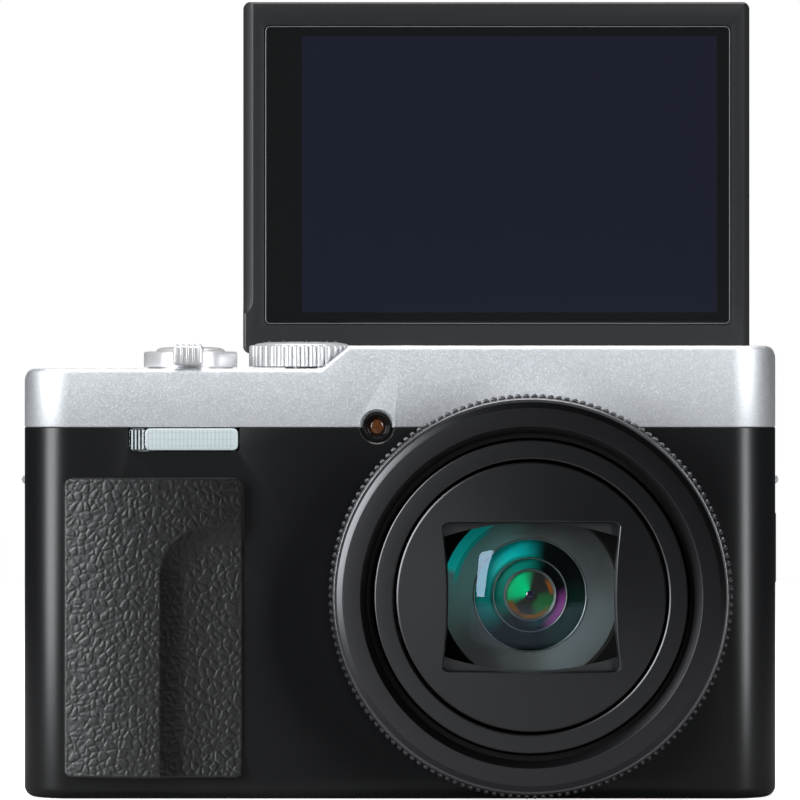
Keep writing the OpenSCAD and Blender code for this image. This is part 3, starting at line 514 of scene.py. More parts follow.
# %% Shared side cuts
HEAD_R, SHANK_R = 1.6, 0.85
SCREW_Y = 4
SIDE_SCREWS = ((-1, 12), (-1, 40), (1, 12), (1, 24))


def side_cutters():
    flap_recess = box(55.0, 58, -5.3, 5.8, 31.3, 42.6)
    sockets = [box(54, 56, -3.7, -1.0, 33.4, 41.1), box(54, 56, 0.9, 4.0, 33.6, 40.4)]
    lug_pockets = [box(min(side * 54, side * 58), max(side * 54, side * 58), -4.6, -1.4, 45.4, 49.0)
                   for side in (-1, 1)]
    holes = []
    for side, z in SIDE_SCREWS:
        for r, inner, steps in ((HEAD_R, 55.5, 40), (SHANK_R, 52, 24)):
            low, high = sorted((side * inner, side * 58))
            holes.append(rod(0, SCREW_Y, z, r, low, high, "X", steps))
    return [flap_recess] + sockets + lug_pockets + holes


# %% Front shell
front = lower_block("front_shell")
cut(front, prism("cutter", [(-1, WALL), (SEAM + 1, WALL)]), box(-60, 60, 0, 20, -2, 60))
flash_gap = slab("cutter", -40.2, -23.7, 51.4, 60, -16, -8, corner=0.7, edge=0.01)
LAMP = (-3.4, 0, 55.1)


def lamp_hole():
    return lathe("cutter", [(0, -20), (2.6, -20), (2.6, -14.0), (2.2, -13.6), (2.2, 0), (0, 0)], at=LAMP, steps=96,
                 closed=False)


LENS_BORE = 26.3
cut(front, rod(LENS_X, 0, LENS_Z, LENS_BORE, -20, 0), lamp_hole(), flash_gap)
cut(front, *side_cutters())
place(soften(front, 0.12), "body", black_case, "black_case", "front_cover")

# %% [markdown]
# ### Lens mount
# The lens stands on a short boss that is part of the front shell on the real camera. It is a pure
# lathe shape, so it is turned separately and sits flush on the shell's face.

# %% Boss
BOSS_R, BOSS_FRONT = 28.6, -15.9
boss = lathe("lens_boss", fillet([
    (LENS_BORE, BOSS_FRONT), (BOSS_R, BOSS_FRONT), (BOSS_R, -13.9), (LENS_BORE, -13.9)], [0.2, 0.5, 0, 0]))
place(boss, "body", black_case, "black_case")

# %% Rear shell with the screen bay
BAY = dict(x0=-24.4, x1=54.0, y=8.8, z0=4.9, z1=60.2)


def bay_block(z0, z1):
    return box(BAY["x0"] - 1.4, HALF - 0.8, BAY["y"] - 1.4, BACK - 0.8, z0, z1)


def bay_space():
    return box(BAY["x0"], BAY["x1"], BAY["y"], 25, BAY["z0"], BAY["z1"])


REAR_DIAL, PLAYBACK, DELETE = (-41, 0, 20), (-31.5, 0, 36), (-48, 0, 36)
rear = lower_block("rear_shell")
hollow = prism("cutter", [(-1, WALL), (SEAM + 1, WALL)])
cut(hollow, bay_block(3.5, 57))
cut(rear, box(-60, 60, -20, 0, -2, 60), hollow, bay_space())
cut(rear, *side_cutters())
cut(rear, box(54, 58, -1, 7.3, 51.4, 56))
for (x, _, z), r in ((REAR_DIAL, 8.55), (PLAYBACK, 2.5), (DELETE, 2.5)):
    cut(rear, rod(x, 0, z, r, 9.5, 16, steps=96))
place(soften(rear, 0.12), "body", black_case, "black_case", "rear_cover")

# %% [markdown]
# ## Silver top cover
# The top is one pressed shell: a low deck over the grip, a short slope, and a raised hump over the
# lens. Its rim is rounded all the way round. The outline is lofted upward, and the height of every
# point follows a profile across the camera, so the rounding runs down the slope without a break.

# %% Height profile and outline
DECK, HUMP = 63.7, 67.1
SLOPE = (-12.1, -7.2)
RIM = 0.75
END_R, END_DROP = 1.8, 0.75


def top_height(x):
    t = min(max((x - SLOPE[0]) / (SLOPE[1] - SLOPE[0]), 0), 1)
    soft = 0.16
    if t < soft:
        t = t * t / (2 * soft)
    elif t > 1 - soft:
        t = 1 - soft - (1 - t) ** 2 / (2 * soft)
    else:
        t = t - soft / 2
    return DECK + (HUMP - DECK) * t / (1 - soft)


def top_outline(inset, steps=14):
    on_slope = [SLOPE[0] + (SLOPE[1] - SLOPE[0]) * k / 24 for k in range(25)]
    spread = [-49, -40, -30, -20, -14] + on_slope + [0, 20, 40, 49]
    front_edge = [(x, FRONT + inset) for x in spread[1:-1]]
    back_edge = [(x, BACK - inset) for x in spread[1:-1][::-1]]
    ring = plan(inset, steps)
    n = steps + 1
    right_front, right_back, left_back, left_front = ring[:n], ring[n:2 * n], ring[2 * n:3 * n], ring[3 * n:]
    return front_edge, right_front, right_back, back_edge, left_back, left_front


def crown_ring(inset, drop):
    ring = [p for part in top_outline(inset) for p in part]
    made = []
    for x, y in ring:
        side = max(abs(x) - (HALF - END_R), 0)
        corner = END_R - math.sqrt(max(END_R ** 2 - side ** 2, 0)) if side > 0 else 0
        made.append((x, y, top_height(x) - corner * END_DROP - drop))
    return made


# %% Loft and cap the cover
SKIRT_R = 0.24
rings = [[(x, y, SEAM + rise) for x, y, _ in crown_ring(inset, 0)]
         for rise, inset in ((0, SKIRT_R), (SKIRT_R * 0.3, SKIRT_R * 0.3), (SKIRT_R, 0))]
rings += [crown_ring(inset, drop) for drop, inset in quarter(RIM, 6)]
count = len(rings[0])
points = [p for ring in rings for p in ring]
faces = [tuple(range(count))[::-1]] + skin_faces(count, len(rings))
parts = [len(part) for part in top_outline(0)]
starts = [sum(parts[:i]) for i in range(6)]
base = (len(rings) - 1) * count
front_line = [base + starts[5] + i for i in range(parts[5])] + [base + starts[0] + i for i in range(parts[0])]
front_line += [base + starts[1] + i for i in range(parts[1])]
back_line = [base + starts[4] + i for i in range(parts[4])][::-1]
back_line += [base + starts[3] + i for i in range(parts[3])][::-1]
back_line += [base + starts[2] + i for i in range(parts[2])][::-1]
for i in range(len(front_line) - 1):
    faces.append((front_line[i], front_line[i + 1], back_line[i + 1], back_line[i]))
top = smooth(make_mesh("top_shell", points, faces))
print("top cover outline has", count, "points")

# %% Hollow it and open its holes
deck_room = prism("cutter", [(SEAM - 1, WALL), (DECK - WALL, WALL)])
cut(deck_room, bay_block(SEAM - 2, 61.6))
hump_room = prism("cutter", [(SEAM - 2, WALL), (HUMP - WALL, WALL)])
cut(hump_room, box(-60, -5, -20, 20, 50, 70), bay_block(SEAM - 3, 61.6), box(-25.8, 60, 12.3, 20, 50, 70))
cut(top, deck_room, hump_room)
cut(top, bay_space(), box(BAY["x0"], BAY["x1"], 13.9, 25, 55.01, 70), box(-6, 36, 9.6, 20, 59, 65.5))
cut(top, box(38.4, 52.6, 9.9, 20, 60.7, 66.1), box(54, 58, -1, 7.3, 54, 55.0))
cut(top, rod(LENS_X, 0, LENS_Z, LENS_BORE, -20, -12, steps=192), lamp_hole())
DIAL, SHUTTER, POWER, MOVIE = (-14.9, 2.0), (-31.4, -3.5), (1, 3), (-45, 5)
cut(top, rod(*DIAL, 0, 8.6, DECK, 75, "Z", 128), rod(*DIAL, 0, 2.45, 60, 75, "Z", 32))
cut(top, rod(*SHUTTER, 0, 6.6, 60, 75, "Z", 96))
cut(top, rod(*POWER, 0, 3.3, 60, 75, "Z", 64), rod(*MOVIE, 0, 3.1, 60, 75, "Z", 64))
MIC_XS, MIC_Y, MIC_STEP = (14, 26), -6, 1.2
for x in MIC_XS:
    for offset in (-MIC_STEP, 0, MIC_STEP):
        cut(top, rod(x + offset, MIC_Y, 0, 0.4, 64, 75, "Z", 16))
place(soften(top, 0.1), "body", silver_case, "silver_case", "top_cover")

# %% [markdown]
# ## Repeats with Geometry Nodes
# Knurls and ribs are the same small tooth set round a circle or along a line, dozens of times.
# A node tree takes the count and the sizes as named inputs, places the teeth, realises them and
# sets the material. The result is then baked to a plain mesh so that it can ride on a body.

# %% Ends that both trees share
def new_tree(name, inputs):
    """A tree with inputs given as (name, kind, value) and one mesh going out."""
    tree = bpy.data.node_groups.new(name, "GeometryNodeTree")
    for label, kind, value in inputs:
        socket = tree.interface.new_socket(label, in_out="INPUT", socket_type="NodeSocket" + kind)
        if value is not None:
            socket.default_value = value
    tree.interface.new_socket("Geometry", in_out="OUTPUT", socket_type="NodeSocketGeometry")
    return tree, tree.nodes.new("NodeGroupInput"), tree.nodes.new("NodeGroupOutput")


def set_out(tree, start, end, points, piece, rotation=None):
    """Put the piece on every point, realise it, set its material and hand it out."""
    spots = tree.nodes.new("GeometryNodeInstanceOnPoints")
    real = tree.nodes.new("GeometryNodeRealizeInstances")
    paint = tree.nodes.new("GeometryNodeSetMaterial")
    link(tree, points, spots.inputs["Points"])
    link(tree, piece, spots.inputs["Instance"])
    if rotation:
        link(tree, rotation, spots.inputs["Rotation"])
    link(tree, spots.outputs["Instances"], real.inputs["Geometry"])
    link(tree, real.outputs["Geometry"], paint.inputs["Geometry"])
    link(tree, start.outputs["Material"], paint.inputs["Material"])
    link(tree, paint.outputs["Geometry"], end.inputs["Geometry"])


# %% Tree: teeth round a circle
teeth_tree, start, end = new_tree("teeth_round_circle", [
    ("Count", "Int", 60), ("Radius", "Float", 0.01), ("Tooth Radius", "Float", 0.0004), ("Length", "Float", 0.004),
    ("Sides", "Int", 8), ("Tip", "Float", 0.0002), ("Material", "Material", None)])
circle = teeth_tree.nodes.new("GeometryNodeMeshCircle")
shank = teeth_tree.nodes.new("GeometryNodeMeshCylinder")
tip = teeth_tree.nodes.new("GeometryNodeMeshCone")
lift = teeth_tree.nodes.new("GeometryNodeTransform")
tooth = teeth_tree.nodes.new("GeometryNodeJoinGeometry")
align = teeth_tree.nodes.new("FunctionNodeAlignRotationToVector")
align.axis = "X"
where = teeth_tree.nodes.new("GeometryNodeInputPosition")
tip_height = teeth_tree.nodes.new("ShaderNodeCombineXYZ")
for source, socket in (
        (start.outputs["Count"], circle.inputs["Vertices"]), (start.outputs["Radius"], circle.inputs["Radius"]),
        (start.outputs["Sides"], shank.inputs["Vertices"]), (start.outputs["Tooth Radius"], shank.inputs["Radius"]),
        (start.outputs["Length"], shank.inputs["Depth"]), (start.outputs["Sides"], tip.inputs["Vertices"]),
        (start.outputs["Tooth Radius"], tip.inputs["Radius Bottom"]),
        (math_node(teeth_tree, "MULTIPLY", start.outputs["Tooth Radius"], 0.4), tip.inputs["Radius Top"]),
        (start.outputs["Tip"], tip.inputs["Depth"]),
        (math_node(teeth_tree, "MULTIPLY", start.outputs["Length"], 0.5), tip_height.inputs["Z"]),
        (tip.outputs["Mesh"], lift.inputs["Geometry"]), (tip_height.outputs[0], lift.inputs["Translation"]),
        (shank.outputs["Mesh"], tooth.inputs["Geometry"]), (lift.outputs["Geometry"], tooth.inputs["Geometry"]),
        (where.outputs["Position"], align.inputs["Vector"])):
    link(teeth_tree, source, socket)
set_out(teeth_tree, start, end, circle.outputs["Mesh"], tooth.outputs["Geometry"], align.outputs["Rotation"])

# %% Tree: bars along a line
bars_tree, start, end = new_tree("bars_along_line", [
    ("Count", "Int", 5), ("Step", "Vector", (0.001, 0, 0)), ("Size", "Vector", (0.0005, 0.002, 0.0005)),
    ("Material", "Material", None)])
row = bars_tree.nodes.new("GeometryNodeMeshLine")
block = bars_tree.nodes.new("GeometryNodeMeshCube")
link(bars_tree, start.outputs["Count"], row.inputs["Count"])
link(bars_tree, start.outputs["Step"], row.inputs["Offset"])
link(bars_tree, start.outputs["Size"], block.inputs["Size"])
set_out(bars_tree, start, end, row.outputs["Mesh"], block.outputs["Mesh"])


# %% Run a tree and bake it in place
def grow(name, tree, values, turn=(0, 0, 0), at=(0, 0, 0)):
    obj = bpy.data.objects.new(name, bpy.data.meshes.new(name))
    bpy.context.scene.collection.objects.link(obj)
    step = obj.modifiers.new("grow", "NODES")
    step.node_group = tree
    for socket in tree.interface.items_tree:
        if socket.in_out == "INPUT" and socket.name in values:
            step[socket.identifier] = values[socket.name]
    bpy.context.view_layer.update()
    bake(obj)
    spin = Euler([math.radians(t) for t in turn]).to_matrix().to_4x4()
    spin.translation = Vector(at) * MM
    obj.data.transform(spin)
    return smooth(obj)


def teeth(name, count, radius, tooth, length, sides, material, at, turn=(0, 0, 0), tip=0.2):
    """A circle of teeth; sizes and place in mm."""
    return grow(name, teeth_tree, {
        "Count": count, "Radius": radius * MM, "Tooth Radius": tooth * MM, "Length": length * MM,
        "Sides": sides, "Tip": tip * MM, "Material": material}, turn, at)


def bars(name, count, step, size, material, at):
    """A row of bars; sizes and place in mm."""
    return grow(name, bars_tree, {
        "Count": count, "Step": [s * MM for s in step], "Size": [s * MM for s in size],
        "Material": material}, at=at)


def join(obj, *others):
    work = bmesh.new()
    work.from_mesh(obj.data)
    for other in others:
        work.from_mesh(other.data)
    bmesh.ops.recalc_face_normals(work, faces=work.faces)
    work.to_mesh(obj.data)
    work.free()
    for other in others:
        bpy.data.objects.remove(other)
    return smooth(obj)


# %% [markdown]
# ## Lens
# From the outside in: a knurled control ring that turns, a fixed trim ring with bright bevels, the
# fixed tube that shows as a dark recess, two barrels that slide out, and a black plate whose window
# frames the front glass. All of them are lathe shapes on one axis.

# %% Fixed tube and trim ring
housing = lathe("lens_tube", fillet([
    (26.0, -24.9), (26.0, -12.4), (28.4, -12.4), (28.4, -11.2), (24.6, -11.2), (24.6, 3.0), (23.1, 3.0),
    (23.1, -24.9)], [0.15] * 8))
place(housing, "body", baffle_black, "lens_black", "lens_housing")
TRIM = [(23.9, -24.95), (23.9, -25.5), (24.9, -27.0), (27.5, -26.65), (28.35, -26.3), (28.35, -24.95)]
trim = lathe("trim_ring", fillet(TRIM, [0.05, 0.1, 0.08, 0.04, 0.06, 0.05]), steps=256)
place(trim, "body", trim_black, "trim_silver", "lens_trim_ring")


def brighten(obj, low, high, front):
    """Give the faces between two radii, ahead of a depth, the polished finish."""
    obj.data.materials.append(bright_edge)
    for face in obj.data.polygons:
        away = (Vector((face.center.x, face.center.z)) / MM - Vector((LENS_X, LENS_Z))).length
        if low < away < high and face.center.y / MM < front:
            face.material_index = 1


brighten(trim, 27.52, 28.33, -26.2)

# %% Control ring and its knurl
core = lathe("control_ring_core", fillet([
    (26.05, -24.6), (28.75, -24.6), (29.0, -24.2), (29.0, -16.6), (28.75, -16.2), (26.05, -16.2)],
    [0.1, 0.15, 0.15, 0.15, 0.15, 0.1]), steps=256)
place(core, "control_ring", knurl_black, "ring_black", "control_ring")
knurl = teeth("control_ring_knurl", 154, 29.12, 0.45, 7.2, 8, knurl_black, (LENS_X, -20.2, LENS_Z),
              turn=(90, 0, 0), tip=0.45)
place(knurl, "control_ring", knurl_black, "ring_black")

# %% Barrels
barrel = lathe("outer_barrel", fillet([
    (20.1, -24.8), (20.1, -26.0), (20.3, -26.12), (22.64, -25.86), (22.8, -25.78), (22.8, -3.0), (21.0, -3.0),
    (21.0, -24.8)], [0.1, 0.03, 0.03, 0.03, 0.03, 0.1, 0.1, 0.1]), steps=256)
place(barrel, "barrel_1", lens_black, "lens_black", "barrel_1")
brighten(barrel, 22.64, 22.79, -25.7)
inner = lathe("inner_barrel", [
    (19.6, -25.2), (19.6, -4.0), (18.2, -4.0), (18.2, -16.2), (7.9, -16.2), (7.9, -18.5), (8.0, -18.7),
    (13.0, -18.9), (13.0, -22.2), (13.3, -22.5), (18.2, -22.5), (18.2, -25.2)])
place(inner, "barrel_2", baffle_black, "lens_black", "barrel_2")

# %% [markdown]
# ### Window plate
# The black plate in front of the glass has a nearly square window whose sides are pinched in the
# middle. The plate's rim is round, so each point of the window is given a partner on the circle at
# the same angle, and the skin is lofted between them. The face is a shallow cone that falls towards
# the rim, so it shades from one side to the other instead of as one flat tone.

# %% Window outline
WIN_W, WIN_H, PINCH, WIN_R = 12.9, 10.75, 0.85, 1.2
CORNER_SNAP = 0.04


def window(grow_by=0.0):
    sides = 36
    right = []
    for k in range(sides + 1):
        z = -WIN_H + 2 * WIN_H * k / sides
        right.append((WIN_W - PINCH * (1 - (z / WIN_H) ** 2), z))
    top_edge = [(WIN_W - 2 * WIN_W * k / sides, WIN_H) for k in range(1, sides)]
    left = [(-x, -z) for x, z in right]
    low_edge = [(-x, -z) for x, z in top_edge]
    ring = right + top_edge + left + low_edge
    rounded = []
    for x, z in ring:
        dx, dz = abs(x) - (WIN_W - WIN_R), abs(z) - (WIN_H - WIN_R)
        if dx > 0 and dz > 0 and math.hypot(dx, dz) > WIN_R - CORNER_SNAP:
            shrink = WIN_R / math.hypot(dx, dz)
            x = math.copysign(WIN_W - WIN_R + dx * shrink, x)
            z = math.copysign(WIN_H - WIN_R + dz * shrink, z)
        away = math.hypot(x, z)
        rounded.append((x * (1 + grow_by / away), z * (1 + grow_by / away)))
    return rounded


# %% Plate
def around(r, y):
    return [(LENS_X + r * x / math.hypot(x, z), y, LENS_Z + r * z / math.hypot(x, z)) for x, z in window()]


def through(grow_by, y):
    return [(LENS_X + x, y, LENS_Z + z) for x, z in window(grow_by)]


CONE, CONE_R, CONE_Y = 0.13, 19.38, -26.09
PLATE_R, PLATE_BACK = 19.6, -25.2


def cone(points):
    """Move a loop in depth until it lies on the plate's shallow cone."""
    return [(x, y - CONE * (CONE_R - math.hypot(x - LENS_X, z - LENS_Z)), z) for x, y, z in points]


CONE_STEPS = 6
inside, outside = through(0.36, CONE_Y), around(CONE_R, CONE_Y)
skin = [around(PLATE_R, PLATE_BACK), around(PLATE_R, -25.98), around(19.42, -26.07)]
for k in range(CONE_STEPS + 1):
    t = k / CONE_STEPS
    skin.append(cone([tuple(a + (b - a) * t for a, b in zip(p, q)) for p, q in zip(outside, inside)]))
skin += [cone(through(0.24, -26.04)), cone(through(0.03, -25.75)), through(0, -25.7), through(0, PLATE_BACK)]
points = [p for ring in skin for p in ring]
faces = skin_faces(len(skin[0]), len(skin), closed=True)
window_plate = smooth(make_mesh("window_plate", points, faces), math.radians(18))
place(window_plate, "barrel_2", lens_black, "lens_black", "front_plate")
brighten(window_plate, 19.4, PLATE_R - 0.01, -25.97)

# %% Front glass
GLASS_R = 12.9


def cap(r0, r1, front, curve, steps=20):
    """Part of a dome: radii from r0 to r1, its tip at depth front."""
    return [(r0 + (r1 - r0) * k / steps, front + curve - math.sqrt(curve ** 2 - (r0 + (r1 - r0) * k / steps) ** 2))
            for k in range(steps + 1)]


lens = lathe("front_element", cap(0, GLASS_R, -24.8, 19.0, 28) + cap(0, GLASS_R, -22.8, 24.0, 20)[::-1],
             closed=False)
place(lens, "barrel_2", coated_glass, "coated_glass", "front_glass")

# %% [markdown]
# ### Painted reflections deep in the lens
# Each surface of the inner groups shows the coloured reflection of its coating, strongest on one side
# of the axis. These reflections are painted into the base colour and stay fixed on the surface. A group
# gives each as a mask: a sector that fades with the angle, between two radii. The masks paint the
# reflection colours on each inner surface, and the front glass takes the real reflections of the lamps.

# %% Group: a soft sector round the lens axis
sector_group, start, end = new_group(
    "soft_sector", [("Turn", 2.4), ("From", 0.1), ("To", 0.95), ("Inner", 0.0), ("Outer", 0.0124), ("Fade", 0.0004)],
    [("Mask", "NodeSocketFloat")]
)
move = sector_group.nodes.new("ShaderNodeVectorMath")
move.operation = "SUBTRACT"
move.inputs[1].default_value = (LENS_X * MM, 0, LENS_Z * MM)
link(sector_group, object_coordinates(sector_group), move.inputs[0])
parts = sector_group.nodes.new("ShaderNodeSeparateXYZ")
link(sector_group, move.outputs[0], parts.inputs[0])
x, z = parts.outputs["X"], parts.outputs["Z"]
squares = math_node(sector_group, "ADD", math_node(sector_group, "MULTIPLY", x, x),
                    math_node(sector_group, "MULTIPLY", z, z))
radius = math_node(sector_group, "SQRT", squares)
along = math_node(sector_group, "ADD",
                  math_node(sector_group, "MULTIPLY", x, math_node(sector_group, "COSINE", start.outputs["Turn"])),
                  math_node(sector_group, "MULTIPLY", z, math_node(sector_group, "SINE", start.outputs["Turn"])))


def ramp(tree, value, low, high):
    """0 below low, 1 above high, smooth between."""
    node = tree.nodes.new("ShaderNodeMapRange")
    node.interpolation_type = "SMOOTHSTEP"
    link(tree, value, node.inputs["Value"])
    for label, edge in (("From Min", low), ("From Max", high)):
        link(tree, edge, node.inputs[label])
    return node.outputs["Result"]


fade = start.outputs["Fade"]
facing = ramp(sector_group, math_node(sector_group, "DIVIDE", along, radius), start.outputs["From"],
              start.outputs["To"])
outside = ramp(sector_group, radius, math_node(sector_group, "SUBTRACT", start.outputs["Inner"], fade),
               start.outputs["Inner"])
beyond = ramp(sector_group, radius, math_node(sector_group, "SUBTRACT", start.outputs["Outer"], fade),
              start.outputs["Outer"])
band = math_node(sector_group, "MULTIPLY", outside, math_node(sector_group, "SUBTRACT", 1.0, beyond))
link(sector_group, math_node(sector_group, "MULTIPLY", facing, band), end.inputs["Mask"])


# %% Materials with painted reflections, sector by sector
# Each sector lays a painted reflection colour over the dark base colour of an inner surface.
def painted_reflection_material(name, base, rough, painted_sectors):
    material = finish(name, base, rough, values=[("Scale", 2500.0)], drift=0.15, bump=0, specular=0.15)
    tree = material.node_tree
    shader = tree.nodes["Principled BSDF"]
    color = shader.inputs["Base Color"].links[0].from_socket
    for reflection_tint, values in painted_sectors:
        call = tree.nodes.new("ShaderNodeGroup")
        call.node_tree = sector_group
        for label, value in values.items():
            call.inputs[label].default_value = value
        layer = tree.nodes.new("ShaderNodeMix")
        layer.data_type = "RGBA"
        link(tree, call.outputs["Mask"], layer.inputs["Factor"])
        link(tree, color, layer.inputs["A"])
        layer.inputs["B"].default_value = (*reflection_tint, 1)
        color = layer.outputs["Result"]
    link(tree, color, shader.inputs["Base Color"])
    return material


def turn_of(degrees):
    return math.radians(degrees)


# Painted reflections: teal at the upper left and a grey sheen at the lower right of the cell ring; teal and green at
# the upper left of the second element; teal at the upper left and magenta at the lower right of the third; green, and
# amber spots round the rim, on the small element.
cell_grey_painted_reflections = painted_reflection_material("cell_grey_painted_reflections", (0.048, 0.052, 0.053), 0.36, [
    ((0.075, 0.17, 0.165), dict(Turn=turn_of(150), From=0.35, To=1.0, Outer=0.014)),
    ((0.0, 0.45, 0.42), dict(Turn=turn_of(140), From=0.9, To=0.94, Inner=0.0112, Outer=0.014, Fade=0.0001)),
    ((0.0, 0.28, 0.25), dict(Turn=turn_of(146), From=0.88, To=0.96, Inner=0.0106, Outer=0.0112, Fade=0.0001)),
    ((0.085, 0.1, 0.108), dict(Turn=turn_of(-38), From=0.55, To=1.0, Inner=0.0095, Outer=0.014, Fade=0.003))])
second_painted_reflections = painted_reflection_material("second_painted_reflections", (0.0006, 0.0008, 0.001), 0.3, [
    ((0.0, 0.85, 0.84), dict(Turn=turn_of(150), From=0.15, To=0.98, Inner=0.0058, Fade=0.0008)),
    ((0.0, 0.32, 0.25), dict(Turn=turn_of(146), From=0.1, To=0.98, Inner=0.0, Outer=0.0058, Fade=0.0006)),
    ((0.0, 0.016, 0.01), dict(Turn=turn_of(-30), From=0.6, To=1.0, Inner=0.0056))])
magenta_painted_reflections = painted_reflection_material("magenta_painted_reflections", (0.0008, 0.001, 0.0012), 0.25, [
    ((0.0, 0.3, 0.23), dict(Turn=turn_of(146), From=0.05, To=0.95)),
    ((0.24, 0.05, 0.24), dict(Turn=turn_of(-28), From=0.72, To=1.0, Inner=0.0041, Fade=0.0012)),
    ((0.0, 0.08, 0.08), dict(Turn=turn_of(-62), From=0.8, To=1.0, Inner=0.0, Outer=0.0047, Fade=0.0014))])
green_painted_reflections = painted_reflection_material("green_painted_reflections", (0.02, 0.02, 0.018), 0.2, [
    ((0.0, 0.55, 0.2), dict(Turn=turn_of(146), From=0.3, To=0.95, Inner=0.0009, Fade=0.0008)),
    ((0.02, 0.13, 0.04), dict(Turn=turn_of(-35), From=0.55, To=1.0, Inner=0.0015, Fade=0.0008)),
    ((0.26, 0.08, 0.015), dict(Turn=turn_of(22), From=0.9, To=1.0, Inner=0.0029, Fade=0.0004)),
    ((0.2, 0.08, 0.01), dict(Turn=turn_of(-80), From=0.55, To=1.0, Inner=0.0029, Fade=0.0003)),
    ((0.2, 0.07, 0.01), dict(Turn=turn_of(215), From=0.9, To=1.0, Inner=0.0027, Fade=0.0004))])
rim_metal = finish("rim_metal", (0.3, 0.33, 0.33), 0.3, metallic=1.0, values=[("Scale", 4000.0)], bump=0)
pupil = finish("pupil", (0.006, 0.004, 0.02), 0.08, values=[("Scale", 2500.0)], bump=0, coat=1.0)
place(lathe("cell_ring", [(7.9, -18.6), (8.0, -18.75), (12.95, -19.0), (12.95, -18.8), (7.9, -18.5)]),
      "barrel_2", cell_grey_painted_reflections, "lens_black")


# %% Dark groups behind the front glass
second_back = [(7.75, -15.4), (0, -15.4), (0, -17.3), (5.15, -17.3)]
second = lathe("second_element", cap(5.2, 7.75, -19.0, 19.0) + second_back, closed=False)
place(second, "barrel_2", second_painted_reflections, "dark_glass", "inner_glass")
third = lathe("third_element", cap(3.65, 4.95, -18.5, 14.0) + [(4.95, -17.2), (3.65, -17.2)], steps=128)
place(third, "barrel_2", magenta_painted_reflections, "dark_glass")
small = lathe("small_element", cap(0, 3.25, -18.6, 9.0) + [(3.25, -17.2), (0, -17.2)], closed=False, steps=128)
place(small, "barrel_2", green_painted_reflections, "dark_glass")
place(lathe("pupil_lens", cap(0, 0.58, -18.78, 1.0, 10) + [(0.58, -18.45), (0, -18.45)], closed=False, steps=48),
      "barrel_2", pupil, "dark_glass")
for name, r, depth, wide in (("cell_edge", 7.85, -18.8, 0.1), ("second_edge", 5.08, -18.2, 0.08),
                             ("third_edge", 3.54, -18.3, 0.07), ("small_edge", 3.34, -18.3, 0.05)):
    rounded = [(r + wide * math.cos(math.pi * k / 6), depth - wide * math.sin(math.pi * k / 6)) for k in range(7)]
    edge = lathe(name, rounded + [(r - wide, depth + 0.6), (r + wide, depth + 0.6)])
    place(edge, "barrel_2", rim_metal, "dark_glass")

# %% [markdown]
# ## Grip
# The grip is a leatherette pad on the front shell. It swells gently from side to side, with a
# hollow for the middle finger that starts steeply and runs out to the right. The face is a fine
# grid whose depth follows that shape, and the grain is real relief: pebbles between creases. Its
# noise has a fixed seed, because without one every run would lay the pebbles out anew.

# %% Depth of the pad
GRIP = dict(x0=-49.7, x1=-23.1, z0=3.2, z1=47.6, r=1.6)
HOLLOW_X, HOLLOW_Z, HOLLOW_R = -35.4, 40.5, 7.7


def hollow_distance(x, z):
    """How far inside the finger hollow a point is; negative outside."""
    dx, dz = x - HOLLOW_X, HOLLOW_Z - z
    if dx < HOLLOW_R and dz < HOLLOW_R:
        return HOLLOW_R - math.hypot(HOLLOW_R - dx, HOLLOW_R - dz)
    return min(dx, dz)


def ease(t):
    t = min(max(t, 0), 1)
    return t * t * (3 - 2 * t)


def pad_depth(x, z):
    off = x - HOLLOW_X
    thick = 2.75 - (1.7 * (off / 14.2) ** 2 if off < 0 else 1.1 * (off / 12.2) ** 2)
    wall = 1.75 * math.sin(math.pi / 2 * min(max(hollow_distance(x, z) / 3.6, 0), 1))
    dip = 0.2 * ease((hollow_distance(x, z) - 1.2) / 3.2)
    rise = 1.1 * ease((off - 5.0) / 11.0)
    depth = thick - (wall + dip) * (1 - 0.75 * ease((8.0 - z) / 9.0)) + rise * ease(hollow_distance(x, z) / 5.0)
    edge = min(x - GRIP["x0"], GRIP["x1"] - x, z - GRIP["z0"], GRIP["z1"] - z)
    if edge < 0.5:
        depth -= 0.5 - math.sqrt(max(0.25 - (0.5 - edge) ** 2, 0))
    return depth


# %% Creases of the leather
CREASE = 0.095
GRAIN_SEED = 11
field.seed_set(GRAIN_SEED)


def leather(x, z):
    """Height of the grain: rounded pebbles of uneven size between narrow creases."""
    sway = field.noise_vector(Vector((x, 3.0, z)) * 0.55) * 0.35
    spot = Vector((x, 0, z)) + sway
    near, far = field.voronoi(spot / 1.2)[0][:2]
    fine_near, fine_far = field.voronoi(spot / 0.62 + Vector((9, 4, 7)))[0][:2]
    pebble = ease((far - near) / 0.34)
    return CREASE * (0.8 * pebble + 0.2 * ease((fine_far - fine_near) / 0.4) - 1)


# %% Pad surface
COLUMNS, ROWS, PLAIN_EDGE = 220, 350, 6


def into_corner(x, z):
    """Pull a grid point that lies outside a rounded corner of the pad back onto it."""
    cx = min(max(x, GRIP["x0"] + GRIP["r"]), GRIP["x1"] - GRIP["r"])
    cz = min(max(z, GRIP["z0"] + GRIP["r"]), GRIP["z1"] - GRIP["r"])
    away = math.hypot(x - cx, z - cz)
    if away <= GRIP["r"]:
        return x, z
    return cx + (x - cx) * GRIP["r"] / away, cz + (z - cz) * GRIP["r"] / away


